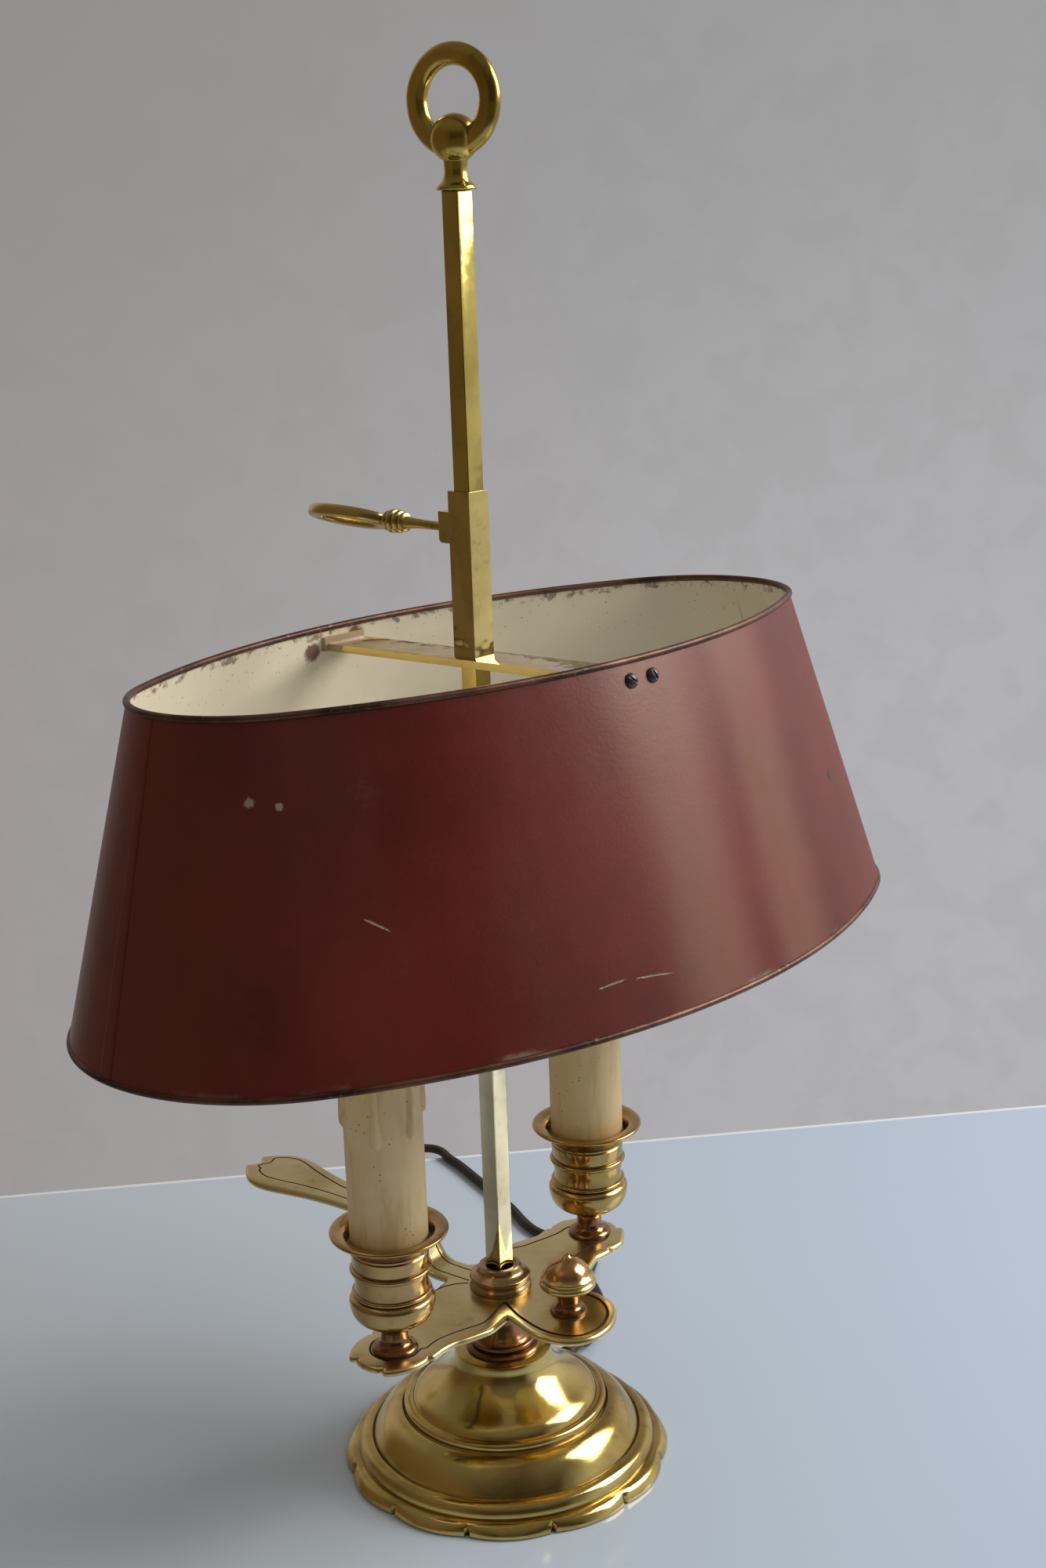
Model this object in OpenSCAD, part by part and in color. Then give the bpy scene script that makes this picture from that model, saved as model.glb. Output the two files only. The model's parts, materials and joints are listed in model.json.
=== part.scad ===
// Bouillotte lamp: two candle lights on a lobed arm plate over a scalloped foot, with an
// oval sheet-metal shade that slides on a square rod and is held by a thumb key.
// The rod's faces lie along X and Y. Candle arms point to -X and +X, the handle to +Y.

/* [Foot] */
// Radius to the tip of a scallop
foot_r = 67.4; // [60:0.1:75]
// Height of the dome's flat top
foot_h = 48; // [40:0.5:60]
// Number of scallops round the foot
scallops = 12; // [8:1:16]
// Height of the scalloped flange
flange_h = 5.2; // [3:0.1:8]
// Thickness of the felt pad
felt_t = 1.5; // [1:0.1:3]

/* [Arm plate] */
// Height of the plate's top face
plate_z = 75.2; // [60:0.1:90]
// Thickness of the plate
plate_t = 2.5; // [1.5:0.1:4]
// Turn of the plate on the rod, degrees
plate_yaw = 3.2; // [-10:0.1:10]
// Reach of the left candle cup
reach_left = 63.1; // [50:0.1:80]
// Reach of the right candle cup
reach_right = 58.9; // [50:0.1:80]
// Reach of the acorn finial
reach_acorn = 36; // [30:0.5:45]
// Turn of the handle from the plate's own Y axis, degrees
handle_yaw = 3.4; // [-10:0.1:10]
// Length of the handle to the end of its leaf
handle_len = 137.5; // [100:0.5:160]
// Width of the handle's strap
strap_w = 15.4; // [12:0.1:20]

/* [Candle lights] */
// Height of the dish floor in a cup, where a candle stands
dish_z = 121.6; // [110:0.1:130]
// Outer radius of a cup's rim
cup_r = 22.9; // [18:0.1:28]
// Outer radius of a candle sleeve
candle_r = 15.2; // [10:0.1:18]
// Length of a candle sleeve
candle_len = 85; // [60:1:110]
// Wall of a candle sleeve
candle_wall = 1.5; // [1:0.1:3]
// Outer radius of the threaded nipple through a cup
nipple_r = 4; // [3:0.1:6]
// Height of a bulb's tip
bulb_top = 288; // [250:1:300]

/* [Rod and finial] */
// Side of the square rod
rod_w = 8; // [6:0.1:12]
// Height of the rod's top
rod_top = 510; // [450:1:600]
// Radius of the rod's lower threaded end
stud_r = 3; // [2:0.1:4]
// Centre-line radius of the finial's ring
ring_r = 15.7; // [12:0.1:20]
// Radius of the finial ring's bar
ring_bar = 4.1; // [2:0.1:6]
// Turn of the ring's plane from the Y axis, degrees
ring_yaw = 11; // [-30:1:30]

/* [Shade] */
// Height of the top edge at the shade's centre
shade_top = 345; // [300:0.5:400]
// Height of the shade
shade_h = 119.2; // [90:0.1:140]
// Half of the long axis at the bottom edge
shade_a = 182.6; // [150:0.1:220]
// Half of the short axis at the bottom edge
shade_b = 111.2; // [90:0.1:140]
// Radius of the rounded ends at the bottom edge
shade_end_r = 82.6; // [70:0.1:100]
// How far the wall leans in from bottom to top
shade_lean = 32.6; // [20:0.1:45]
// Thickness of the sheet
sheet_t = 0.7; // [0.5:0.05:1.2]
// Radius of the wire that stiffens each edge
rim_r = 1.3; // [0.8:0.1:2]
// Turn of the shade on its bar, degrees
shade_yaw = -4; // [-10:0.1:10]
// Tilt of the shade about X and Y, degrees
shade_tilt = [-1.86, -0.48];
// Centre of the shade's top edge in X and Y
shade_xy = [1.5, -3.4];

/* [Shade carrier] */
// Width of the flat bar across the shade
bar_w = 18; // [12:0.5:24]
// Thickness of the bar
bar_t = 3; // [2:0.1:5]
// Depth of the bar's top face below the shade's top edge
bar_drop = 5.5; // [3:0.1:12]
// Height of the sleeve's top
sleeve_top = 402; // [380:1:430]
// Height of the thumb key's axis
key_z = 387.4; // [370:0.1:400]
// Length of the key's oval bow
bow_len = 41; // [30:0.5:50]
// Width of the key's bow
bow_w = 23; // [16:0.5:30]
// Roll of the bow about the key's axis, degrees
bow_roll = 12; // [0:1:45]

/* [Cord] */
// Radius of the mains cord
cord_r = 2.3; // [1.5:0.1:4]
// Radius of a lead inside the lamp
lead_r = 1.1; // [0.8:0.1:1.5]
// Centre-line radius of the spare cord's coil
coil_r = 25; // [20:1:40]
// Centre of the coil
coil_xy = [262, 390];
// Centre of the switch on the cord
switch_xy = [210, 304];
// Direction of the cord through the switch, degrees
switch_yaw = 36; // [0:1:90]

/* [Fits] */
// Running fit on a radius
run = 0.05; // [0.02:0.01:0.1]
// Gap between parts that pass each other
gap = 0.3; // [0.2:0.05:0.6]

/* [Hidden] */
$fn = 96;
plate_under = plate_z - plate_t;
rod_bore = rod_w + 2 * run;
candle_top = dish_z + candle_len;
socket_z = dish_z + 2.4;
socket_top = candle_top - 3;
cap_r = 6.9;
end_c = shade_a - shade_end_r;
side_rise = shade_b - shade_end_r;
side_d = (end_c * end_c - side_rise * side_rise) / (2 * side_rise);
side_r = shade_b + side_d;
end_angle = atan2(side_d, end_c);
lean = shade_lean / shade_h;
lean_angle = atan(lean);
lap = 0.1;
wall_t = sheet_t / cos(lean_angle);
pad_r = 2;
pad_t = 1.4;
key_y = rod_w / 2 + run + pad_t + run;
boss_y = 11.7;
ring_z = rod_top + 31;
eye_z = rod_top + 17.8;

// ---- shared shapes ----

// Points on an arc round (x, y)
function arc(x, y, r, from, to, n = 6) =
    [for (i = [0:n]) let (a = from + (to - from) * i / n) [x + r * cos(a), y + r * sin(a)]];

// Points on a quadratic curve from a to c, pulled towards b
function bend(a, b, c, n = 6) =
    [for (i = [0:n]) let (t = i / n) a * (1 - t) * (1 - t) + 2 * b * t * (1 - t) + c * t * t];

// One point on a cubic that runs from q to r between its neighbours p and s
function through(p, q, r, s, t) =
    0.5 * (2 * q + (r - p) * t + (2 * p - 5 * q + 4 * r - s) * t * t
        + (3 * q - p - 3 * r + s) * t * t * t);

// A smooth run through every control point, without its last point
function run_of(p, n = 4) = let (m = len(p) - 1)
    [for (i = [0:m - 1]) for (j = [0:n - 1])
        through(p[max(i - 1, 0)], p[i], p[i + 1], p[min(i + 2, m)], j / n)];

function mirrored(p) = [for (i = [len(p) - 1:-1:0]) [p[i][0], -p[i][1]]];

// An oval with half axes a and b
function oval(a, b, n = 40) = [for (i = [0:n - 1]) [a * cos(360 * i / n), b * sin(360 * i / n)]];

// A revolved profile; points that repeat where two curves meet are dropped
module turned(profile) rotate_extrude() polygon([for (i = [0:len(profile) - 1])
    if (i == 0 || norm(profile[i] - profile[max(i - 1, 0)]) > 0.01) profile[i]]);

module hex_nut(flats, bore, z, h) translate([0, 0, z]) difference() {
    cylinder(h = h, r = flats / sqrt(3), $fn = 6);
    translate([0, 0, -1]) cylinder(h = h + 2, r = bore);
}

// A round tube swept along a route, with its rings square to the route
module tube(route, r, side_of = [0, 0, 1], n = 8) {
    m = len(route) - 1;
    rings = [for (i = [0:m])
        let (t = route[min(i + 1, m)] - route[max(i - 1, 0)], d = t / norm(t),
            s = cross(d, side_of), u = s / norm(s), v = cross(u, d))
        for (k = [0:n - 1]) route[i] + r * (cos(360 * k / n) * u + sin(360 * k / n) * v)];
    sides = [for (i = [0:m - 1]) for (k = [0:n - 1]) let (q = (k + 1) % n)
        [i * n + k, (i + 1) * n + k, (i + 1) * n + q, i * n + q]];
    polyhedron(rings, concat(sides, [[for (k = [0:n - 1]) k]],
        [[for (k = [n - 1:-1:0]) m * n + k]]), convexity = 10);
}

// ---- foot ----

// Scalloped outline with a small notch between neighbours
flange_outline = [for (i = [0:scallops - 1]) let (turn = (i + 0.5) * 360 / scallops)
    each concat([for (p = arc(28, 0, foot_r - 28, -23.8, 23.8, 7))
            [p[0] * cos(turn) - p[1] * sin(turn), p[0] * sin(turn) + p[1] * cos(turn)]],
        [(foot_r - 3.2) * [cos((i + 1) * 360 / scallops), sin((i + 1) * 360 / scallops)]])];

module foot() color([0.62, 0.50, 0.20]) difference() {
    union() {
        turned(concat([[0, 2], [58, 2], [58, flange_h - 1.4], [61.4, flange_h - 1.4]],
            bend([61.5, 5.8], [61, 11.2], [55.6, 11]), [[55, 11.8]],
            bend([55, 11.8], [49.6, 22.6], [43, 23.1], 8), [[42.1, 23.3]],
            bend([42.1, 24], [42.2, 26], [40.4, 26.3], 4), [[39.2, 26.1]],
            bend([38.3, 26.3], [37.4, 29], [34, 31], 5),
            bend([34, 31], [20.8, 38.4], [20.2, 45.4], 9),
            [[20.1, foot_h - 0.8], [19.2, foot_h], [0, foot_h]]));
        linear_extrude(flange_h, scale = 1 - 2.6 / foot_r) polygon(flange_outline);
    }
    foot_cavity();
    translate([0, 0, -1]) cylinder(h = foot_h + 2, r = 6);
    bushing_place() translate([0, 0, -8]) cylinder(h = 20, r = 3.9);
}

module foot_cavity() turned([[0, -1], [56.5, -1], [56.5, 2.5], [52, 9], [47, 15], [40, 19.5],
    [35, 24], [28, 30], [20, 36], [14, 42], [0, 42]]);

module foot_weight() color([0.30, 0.30, 0.31]) difference() {
    turned(concat([[stud_r + gap, 8], [14, 8], [14, felt_t + 0.2], [52.5, felt_t + 0.2],
        [52.5, 5.5]], bend([46, 13.5], [30, 20], [19, 32], 5), [[12, 36], [12, 42], [7, 42],
        [7, 34], [stud_r + gap, 34]]));
    rotate(18) translate([0, -3, 34]) cube([20, 6, 5]);
    rotate(18) translate([40, -5, 0]) cube([14, 10, 20]);
}

module foot_felt() color([0.13, 0.20, 0.14]) difference() {
    cylinder(h = felt_t, r = 55.5);
    translate([0, 0, -1]) cylinder(h = 4, r = 12);
}

module base_washer() color([0.45, 0.45, 0.44]) turned([[stud_r + 0.2, 6.8], [11, 6.8],
    [11, 8], [stud_r + 0.2, 8]]);

module base_nut() color([0.45, 0.45, 0.44]) hex_nut(11, stud_r + run, 2.4, 4.4);

// The hole for the cord, low in the dome's wall
module bushing_place() rotate(18) translate([58, 0, 9.4]) rotate([0, 90, 0]) children();

module cord_bushing() color([0.10, 0.09, 0.08]) bushing_place() difference() {
    turned([[cord_r + 0.2, -4], [3.8, -4], [3.8, 3.7], [4.1, 3.7], [4.1, 4.6], [3.8, 5.2],
        [cord_r + 0.6, 5.2], [cord_r + 0.2, 4.6]]);
    translate([0, 0, -5]) cylinder(h = 0.5, r = 1);
}

// ---- stem ----

module lower_collar() color([0.47, 0.30, 0.17]) difference() {
    turned(concat([[5.7, foot_h], [15.2, foot_h], [15.2, foot_h + 1.4], [14.6, 50],
        [12.7, 50.4]], arc(12.3, 51.4, 0.9, -50, 90, 4), [[11.4, 52.8]],
        bend([10.2, 53.2], [9.8, 54], [9.4, 54.6], 2), bend([9, 55.4], [5.6, 61.5], [8, 66], 6),
        bend([8.4, 66.8], [9.4, 69.8], [11.5, 71], 4), [[11.5, plate_under], [5.7, plate_under]]));
    for (s = [-1, 1]) rotate(plate_yaw) translate([0, 0, 69.2]) rotate([0, s * 90, 0])
        cylinder(h = 14, r = 1.5);
}

module stem_collar() color([0.45, 0.29, 0.17]) difference() {
    turned(concat([[0, plate_z], [12.5, plate_z], [12.5, 76.4], [12, 77.2]],
        bend([11.3, 78.3], [11.4, 78.8], [12, 79], 2), arc(11.6, 80, 0.85, -50, 60, 4),
        bend([11.8, 81.2], [9, 82], [8.8, 83.6], 4), [[8.5, 85], [0, 85]]));
    translate([0, 0, 83.5]) cylinder(h = 3, r = 6.6);
    translate([-rod_bore / 2, -rod_bore / 2, 70]) cube([rod_bore, rod_bore, 20]);
}

module stem_rod() color([0.74, 0.66, 0.27]) difference() {
    union() {
        translate([0, 0, plate_z]) linear_extrude(rod_top - plate_z)
            polygon([for (q = [0:3]) for (e = [-1, 1]) let (h = rod_w / 2, c = h - 0.3)
                q == 0 ? [h, e * c] : q == 1 ? [-e * c, h] : q == 2 ? [-h, -e * c] : [e * c, -h]]);
        translate([0, 0, 2]) cylinder(h = plate_z - 1, r = stud_r);
    }
    translate([0, 0, rod_top - 15]) cylinder(h = 20, r = 2.5 + run);
}

module finial() color([0.72, 0.62, 0.26]) difference() {
    union() {
        turned(concat([[0, rod_top - 14], [2.5, rod_top - 14], [2.5, rod_top], [7.2, rod_top],
            [7.2, rod_top + 1.1], [6.8, rod_top + 1.6]],
            bend([5.6, rod_top + 2.6], [4.2, rod_top + 4.6], [4.3, rod_top + 6.4], 4),
            [[4.3, rod_top + 12], [0, rod_top + 12]]));
        translate([0, 0, eye_z]) sphere(r = 8.8);
    }
    ring_place() turned_ring(ring_bar + run);
}

module ring_place() translate([0, 0, ring_z]) rotate(ring_yaw) rotate([0, 90, 0]) children();

module turned_ring(r) rotate_extrude() translate([ring_r, 0]) circle(r = r, $fn = 48);

module finial_ring() color([0.73, 0.64, 0.28]) ring_place() turned_ring(ring_bar);

// ---- arm plate ----

module on_plate() rotate(plate_yaw) children();

// Near edge of a candle arm from its root to the tip, with the arm along -X
function arm_edge(tip, waist) = concat(
    run_of([[-18.3, 19.4], [-25, 20.7], [-32, 21.2], [-39, 19.3], [-46, waist + 0.6],
        [-tip + 28, waist], [-tip + 21.5, waist + 0.6]], 3),
    [[-tip + 20, waist - 1]],
    run_of([[-tip + 18.6, waist + 0.2], [-tip + 12, waist], [-tip + 6, 13.6],
        [-tip + 2, 10.6], [-tip + 1, 8.6]], 3),
    [[-tip + 2.4, 6.8]],
    run_of([[-tip + 0.9, 5.4], [-tip, 2], [-tip, 0]], 3));

// Round lobe under the acorn finial, from the left root to the right one
lobe_edge = run_of([[-18.3, -19.4], [-20.4, -26.8], [-22, -33], [-22.5, -40], [-21, -47.6],
    [-17, -53.6], [-10.5, -57.2], [-2.5, -57.6], [5.5, -55.2], [12, -51], [16.6, -45],
    [18.4, -38.4], [18.4, -32], [17.6, -26.8], [16.6, -19.4]], 3);

module plate_outline() {
    left = arm_edge(80, 15.9);
    right = arm_edge(71.5, 17.2);
    polygon(concat(lobe_edge,
        [for (p = right) [-p[0], -p[1]]],
        [for (i = [len(right) - 1:-1:1]) if (-right[i][0] > 18) [-right[i][0], right[i][1] * 0.96]],
        [[12, 19.4], [5.2, 19.2], [5.2, 24], [-10.2, 24], [-10.2, 20.9], [-13.5, 20.6]],
        [for (p = left) p],
        mirrored([for (i = [1:len(left) - 1]) if (left[i][0] < -18) left[i]])));
}

// Handle from above: a strap that widens into a leaf, along +Y
function leaf_edge(s) = [for (p = run_of([[strap_w / 2, 48], [8.7, 66], [9.3, 84], [10.6, 95],
    [12.8, 105], [14.6, 112], [15.6, 119], [14.7, 125], [11.9, 130], [8.2, handle_len - 3.6],
    [5.3, handle_len - 1]], 4)) [s * p[0], p[1]]];

function leaf_notch(s) = [for (p = bend([4.2, handle_len - 1.4], [2, handle_len - 3.8],
    [0.2, handle_len - 4.2], 3)) [s * p[0], p[1]]];

module handle_plan() {
    polygon(concat([[strap_w / 2, 21.5]], leaf_edge(1), [[5.3, handle_len - 1],
        [4.6, handle_len - 1]], leaf_notch(1), [[0, handle_len - 4.3]],
        [for (i = [3:-1:0]) leaf_notch(-1)[i]], [[-4.6, handle_len - 1], [-5.3, handle_len - 1]],
        [for (i = [len(leaf_edge(-1)) - 1:-1:0]) leaf_edge(-1)[i]], [[-strap_w / 2, 21.5]]));
}

// Handle from the side, drawn as its middle line in Y and Z
handle_line = concat([[20, plate_z - plate_t / 2]],
    bend([28, plate_z - plate_t / 2], [33.5, plate_z - plate_t / 2], [36.4, 79.5], 5),
    bend([41.2, 86.6], [45, 92.6], [54, 92.9], 6),
    [[74, 93.2], [92, 93.6]], bend([100, 93.9], [118, 94.6], [handle_len + 2, 95.7], 4));

function side_of_line(p, i) = let (m = len(p) - 1, d = p[min(i + 1, m)] - p[max(i - 1, 0)])
    [-d[1], d[0]] / norm(d);

module handle_side() {
    h = plate_t / 2;
    m = len(handle_line) - 1;
    polygon(concat([for (i = [0:m]) handle_line[i] - h * side_of_line(handle_line, i)],
        [for (i = [m:-1:0]) handle_line[i] + h * side_of_line(handle_line, i)]));
}

module handle() translate([-0.6, 0, 0]) rotate(handle_yaw) intersection() {
    translate([0, 0, 60]) linear_extrude(50) handle_plan();
    translate([-20, 0, 0]) rotate([90, 0, 90]) linear_extrude(40) handle_side();
}

module arm_plate() color([0.60, 0.54, 0.31]) on_plate() difference() {
    union() {
        translate([0, 0, plate_under]) linear_extrude(plate_t) plate_outline();
        handle();
    }
    translate([0, 0, 60]) cylinder(h = 30, r = stud_r + run);
    for (x = [-reach_left, reach_right]) translate([x, 0, 60]) cylinder(h = 30, r = nipple_r + run);
    translate([0, -reach_acorn, 60]) cylinder(h = 30, r = 2.5 + run);
}

module acorn() color([0.70, 0.58, 0.30]) on_plate() translate([0, -reach_acorn, 0])
    turned(concat([[0, 69], [2.5, 69], [2.5, plate_z], [7.3, plate_z], [7.3, 76.2]],
        bend([5.6, 77], [4.2, 78], [4.3, 80], 3), bend([4.4, 82.4], [6, 84], [8.2, 85], 3),
        arc(9.9, 87.7, 1.5, -60, 60, 5), [[10.2, 89.6]], arc(9.9, 90.4, 0.8, -30, 60, 3),
        bend([9, 93.2], [7.4, 96.6], [1.4, 99], 4), [[0.8, 99.8], [0, 100]]));

module acorn_nut() color([0.45, 0.45, 0.44]) on_plate() translate([0, -reach_acorn, 0])
    hex_nut(8, 2.5 + run, plate_under - 2.9, 2.9);

// ---- candle lights ----

module at_left() on_plate() translate([-reach_left, 0, 0]) children();
module at_right() on_plate() translate([reach_right, 0, 0]) children();

module cup() color([0.66, 0.50, 0.28]) difference() {
    turned(concat([[0, plate_z], [8.9, plate_z], [8.9, 76.2]],
        bend([8, 77], [5.3, 78], [5.3, 81], 4), bend([5.3, 83], [5.6, 86], [9, 87.2], 4),
        bend([12.4, 88.4], [16.2, 90.4], [16.6, 96], 5), bend([16.6, 97.6], [16.4, 99], [15, 99.7], 3),
        arc(14.7, 100.9, 0.8, -70, 70, 3), bend([14.4, 102], [14.1, 105], [14.7, 108.6], 4),
        arc(14.9, 110.4, 0.9, -60, 60, 4), [[15.1, 112], [15.1, 117.4], [14.6, 118.4]],
        bend([15.4, 119.4], [17.6, 122.4], [21.6, 124.6], 5), [[cup_r, 125.6],
        [cup_r, 126.6], [22.4, 127.2], [21.6, 127.2], [18.2, 126.2]],
        bend([18.2, 126.2], [16.6, 124.8], [16.2, dish_z], 4), [[13.3, dish_z],
        [13.3, socket_z], [0, socket_z]]));
    cylinder(h = 200, r = nipple_r + run);
}

module nipple() color([0.60, 0.52, 0.26]) translate([0, 0, 67]) difference() {
    cylinder(h = socket_z + 6 - 67, r = nipple_r);
    translate([0, 0, -1]) cylinder(h = 80, r = nipple_r - 1.1);
}

module cup_nut() color([0.50, 0.48, 0.42]) hex_nut(13, nipple_r + run, plate_under - 4, 4);

module candle() color([0.78, 0.70, 0.52]) turned([[candle_r - candle_wall, dish_z],
    [candle_r, dish_z], [candle_r, candle_top - 0.6], [candle_r - 0.5, candle_top],
    [candle_r - candle_wall, candle_top]]);

module socket() color([0.16, 0.13, 0.11]) difference() {
    turned([[0, socket_z], [12.2, socket_z], [12.2, socket_z + 5], [10.4, socket_z + 7],
        [10.4, socket_top - 26], [11.8, socket_top - 24], [11.8, socket_top], [0, socket_top]]);
    translate([0, 0, socket_z - 1]) cylinder(h = 7.2, r = nipple_r + run);
    translate([0, 0, socket_z + 6]) cylinder(h = socket_top - socket_z - 31.8, r = 7);
    translate([0, 0, socket_top - 24]) cylinder(h = 30, r = cap_r + run);
}

module bulb_cap() color([0.72, 0.70, 0.64]) turned([[0, socket_top - 23.6], [3, socket_top - 23.6],
    [6.4, socket_top - 20], [cap_r, socket_top - 19], [cap_r, socket_top + 3],
    [cap_r - 0.3, socket_top + 3], [cap_r - 0.3, socket_top - 17], [0, socket_top - 21]]);

module bulb_glass() color([0.95, 0.93, 0.88, 0.5]) {
    z = socket_top;
    wall = 0.9;
    side = run_of([[6.4, z - 3], [6.4, z + 4], [9.5, z + 13], [15.6, z + 24], [17.5, z + 36],
        [15.2, z + 52], [9, z + 70], [3.4, bulb_top - 3], [0.9, bulb_top]], 3);
    turned(concat(side, [[0, bulb_top + 0.2], [0, bulb_top - 2]],
        [for (i = [len(side) - 2:-1:0]) side[i] - [wall, 0]]));
}

// A lead from inside a nipple, under the plate and into the stem's lower collar
module lead(reach, s) color([0.20, 0.17, 0.12]) on_plate() tube([for (p = [[reach, 110],
    [reach, 90], [reach, 69], [reach - 0.4, 66.6], [reach - 1.6, 65], [reach - 4, 64.4],
    [reach - 8, 65], [reach - 12, 67.6], [reach - 17, 69], [28, 69.2], [10, 69.2],
    [5.9, 69.2], [4.8, 68.5], [4.3, 67], [4.3, 56], [4.3, 38]]) [s * p[0], 0, p[1]]],
    lead_r, [0, 1, 0], 6);

module cup_left() at_left() cup();
module cup_right() at_right() cup();
module nipple_left() at_left() nipple();
module nipple_right() at_right() nipple();
module cup_nut_left() at_left() cup_nut();
module cup_nut_right() at_right() cup_nut();
module candle_left() at_left() candle();
module candle_right() at_right() candle();
module socket_left() at_left() socket();
module socket_right() at_right() socket();
module bulb_cap_left() at_left() bulb_cap();
module bulb_cap_right() at_right() bulb_cap();
module bulb_glass_left() at_left() bulb_glass();
module bulb_glass_right() at_right() bulb_glass();
module lead_left() lead(reach_left, -1);
module lead_right() lead(reach_right, 1);

// ---- shade ----

// The shade's tilted frame, with its top edge at z = 0, still square to the bar
module at_tilt() translate([shade_xy[0], shade_xy[1], shade_top])
    rotate([shade_tilt[0], 0, 0]) rotate([0, shade_tilt[1], 0]) children();

module at_shade() at_tilt() rotate(shade_yaw) children();

// Section of the wall, measured from the outer radius at the bottom edge
module wall_section(r) polygon([[r - shade_lean, 0], [r, -shade_h], [r - wall_t, -shade_h],
    [r - shade_lean - wall_t, 0]]);

// Run a section, drawn at its own radius, round one end of the oval or along its +Y side
module end_run(s, from, to) translate([s * end_c, 0, 0]) rotate(from)
    rotate_extrude(angle = to - from, $fn = 96) children();

module side_run() translate([0, -side_d, 0]) rotate(end_angle)
    rotate_extrude(angle = 180 - 2 * end_angle, $fn = 96) children();

module half_oval() {
    end_run(1, 0, end_angle + lap) children(0);
    side_run() children(1);
    end_run(-1, 180 - end_angle - lap, 180) children(0);
}

module half_wall() half_oval() {
    wall_section(shade_end_r);
    wall_section(side_r);
}

// Places a screw or its hole square to the wall, from the middle of a long side
module at_screw(off) translate([0, -side_d, 0]) rotate(90 - asin(off / side_r))
    translate([side_r - shade_lean + screw_drop * lean, 0, -screw_drop])
        rotate([0, 90 - lean_angle, 0]) children();

screw_drop = 6.2;
front_screws = [-9.4, 2.8];
back_screws = [-1, -15.6];

module shade_front() color([0.36, 0.11, 0.09]) at_shade() rotate(180) difference() {
    half_wall();
    for (x = front_screws) at_screw(x) translate([0, 0, -3]) cylinder(h = 6, r = 1.25 + run);
}

module shade_back() color([0.36, 0.11, 0.09]) at_shade() difference() {
    half_wall();
    for (x = back_screws) at_screw(x) translate([0, 0, -3]) cylinder(h = 6, r = 1.25 + run);
}

// Distance of a seam's ends from the wall's edges, and its thickness
seam_end = rim_r + 0.4;
seam_t = 0.5;

// Radius of the wall's outside at a depth below the top edge
function seam_r(depth) = shade_end_r - shade_lean + depth * lean + 0.01;

// A lapped strip over the joint of the two half sheets
module seam(s) at_shade() end_run(s, s > 0 ? -2.4 : 177.6, s > 0 ? 2.4 : 182.4)
    polygon([[seam_r(seam_end), -seam_end], [seam_r(seam_end) + seam_t, -seam_end],
        [seam_r(shade_h - seam_end) + seam_t, seam_end - shade_h],
        [seam_r(shade_h - seam_end), seam_end - shade_h]]);

module seam_left() color([0.33, 0.10, 0.08]) seam(-1);
module seam_right() color([0.33, 0.10, 0.08]) seam(1);

// A wire along an edge, flat where it sits on the sheet
module rim(inset, z, up) at_shade() for (a = [0, 180]) rotate(a) {
    end_run(1, -end_angle - lap, end_angle + lap)
        rim_half(shade_end_r - wall_t / 2 - inset, z, up);
    side_run() rim_half(side_r - wall_t / 2 - inset, z, up);
}

module rim_half(r, z, up)
    polygon(arc(r, z, rim_r, up > 0 ? -30 : 150, up > 0 ? 210 : 390, 10));

module rim_top() color([0.55, 0.36, 0.24]) rim(shade_lean, 0.5 * rim_r, 1);
module rim_bottom() color([0.50, 0.32, 0.22]) rim(0, -shade_h - 0.5 * rim_r, -1);

// ---- shade carrier ----

// The space between the two long walls, which the bar just fills
module between_walls() at_shade() intersection_for (s = [0, 180]) rotate(s)
    translate([0, -side_d, -30]) cylinder(h = 30, r1 = side_r - shade_lean - wall_t - run
        + 30 * lean, r2 = side_r - shade_lean - wall_t - run, $fn = 192);

module carrier() color([0.72, 0.64, 0.28]) difference() {
    union() {
        intersection() {
            between_walls();
            at_tilt() translate([-shade_xy[0], 0, -bar_drop - bar_t]) {
                translate([-bar_w / 2, -90, 0]) cube([bar_w, 190, bar_t]);
                translate([-10.5, -90, 0]) cube([21, 17, 5.5]);
                translate([-10.5, 77.5, 0]) cube([21, 14, 5.5]);
            }
        }
        translate([-5.1, -4.95, shade_top - bar_drop - 2]) cube([10.2, 11.1, sleeve_top
            - shade_top + bar_drop + 2]);
        translate([-5.1, 0, key_z]) rotate([90, 0, 90]) linear_extrude(10.2)
            polygon(concat([[5, 6.6], [5, -5.2]], arc(boss_y - 1.6, -3.6, 1.6, -90, 0, 4),
                [[boss_y, 6.6]]));
    }
    translate([-rod_bore / 2, -rod_bore / 2, 300]) cube([rod_bore, rod_bore, 150]);
    translate([0, 0, key_z]) rotate([-90, 0, 0]) cylinder(h = 30, r = pad_r + run);
    at_shade() {
        rotate(180) for (x = front_screws) at_screw(x) translate([0, 0, -7])
            cylinder(h = 10, r = 1.25 + run);
        for (x = back_screws) at_screw(x) translate([0, 0, -7]) cylinder(h = 10, r = 1.25 + run);
    }
}

module pressure_pad() color([0.45, 0.45, 0.43]) translate([0, rod_w / 2 + run, key_z])
    rotate([-90, 0, 0]) cylinder(h = pad_t, r = pad_r);

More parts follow.
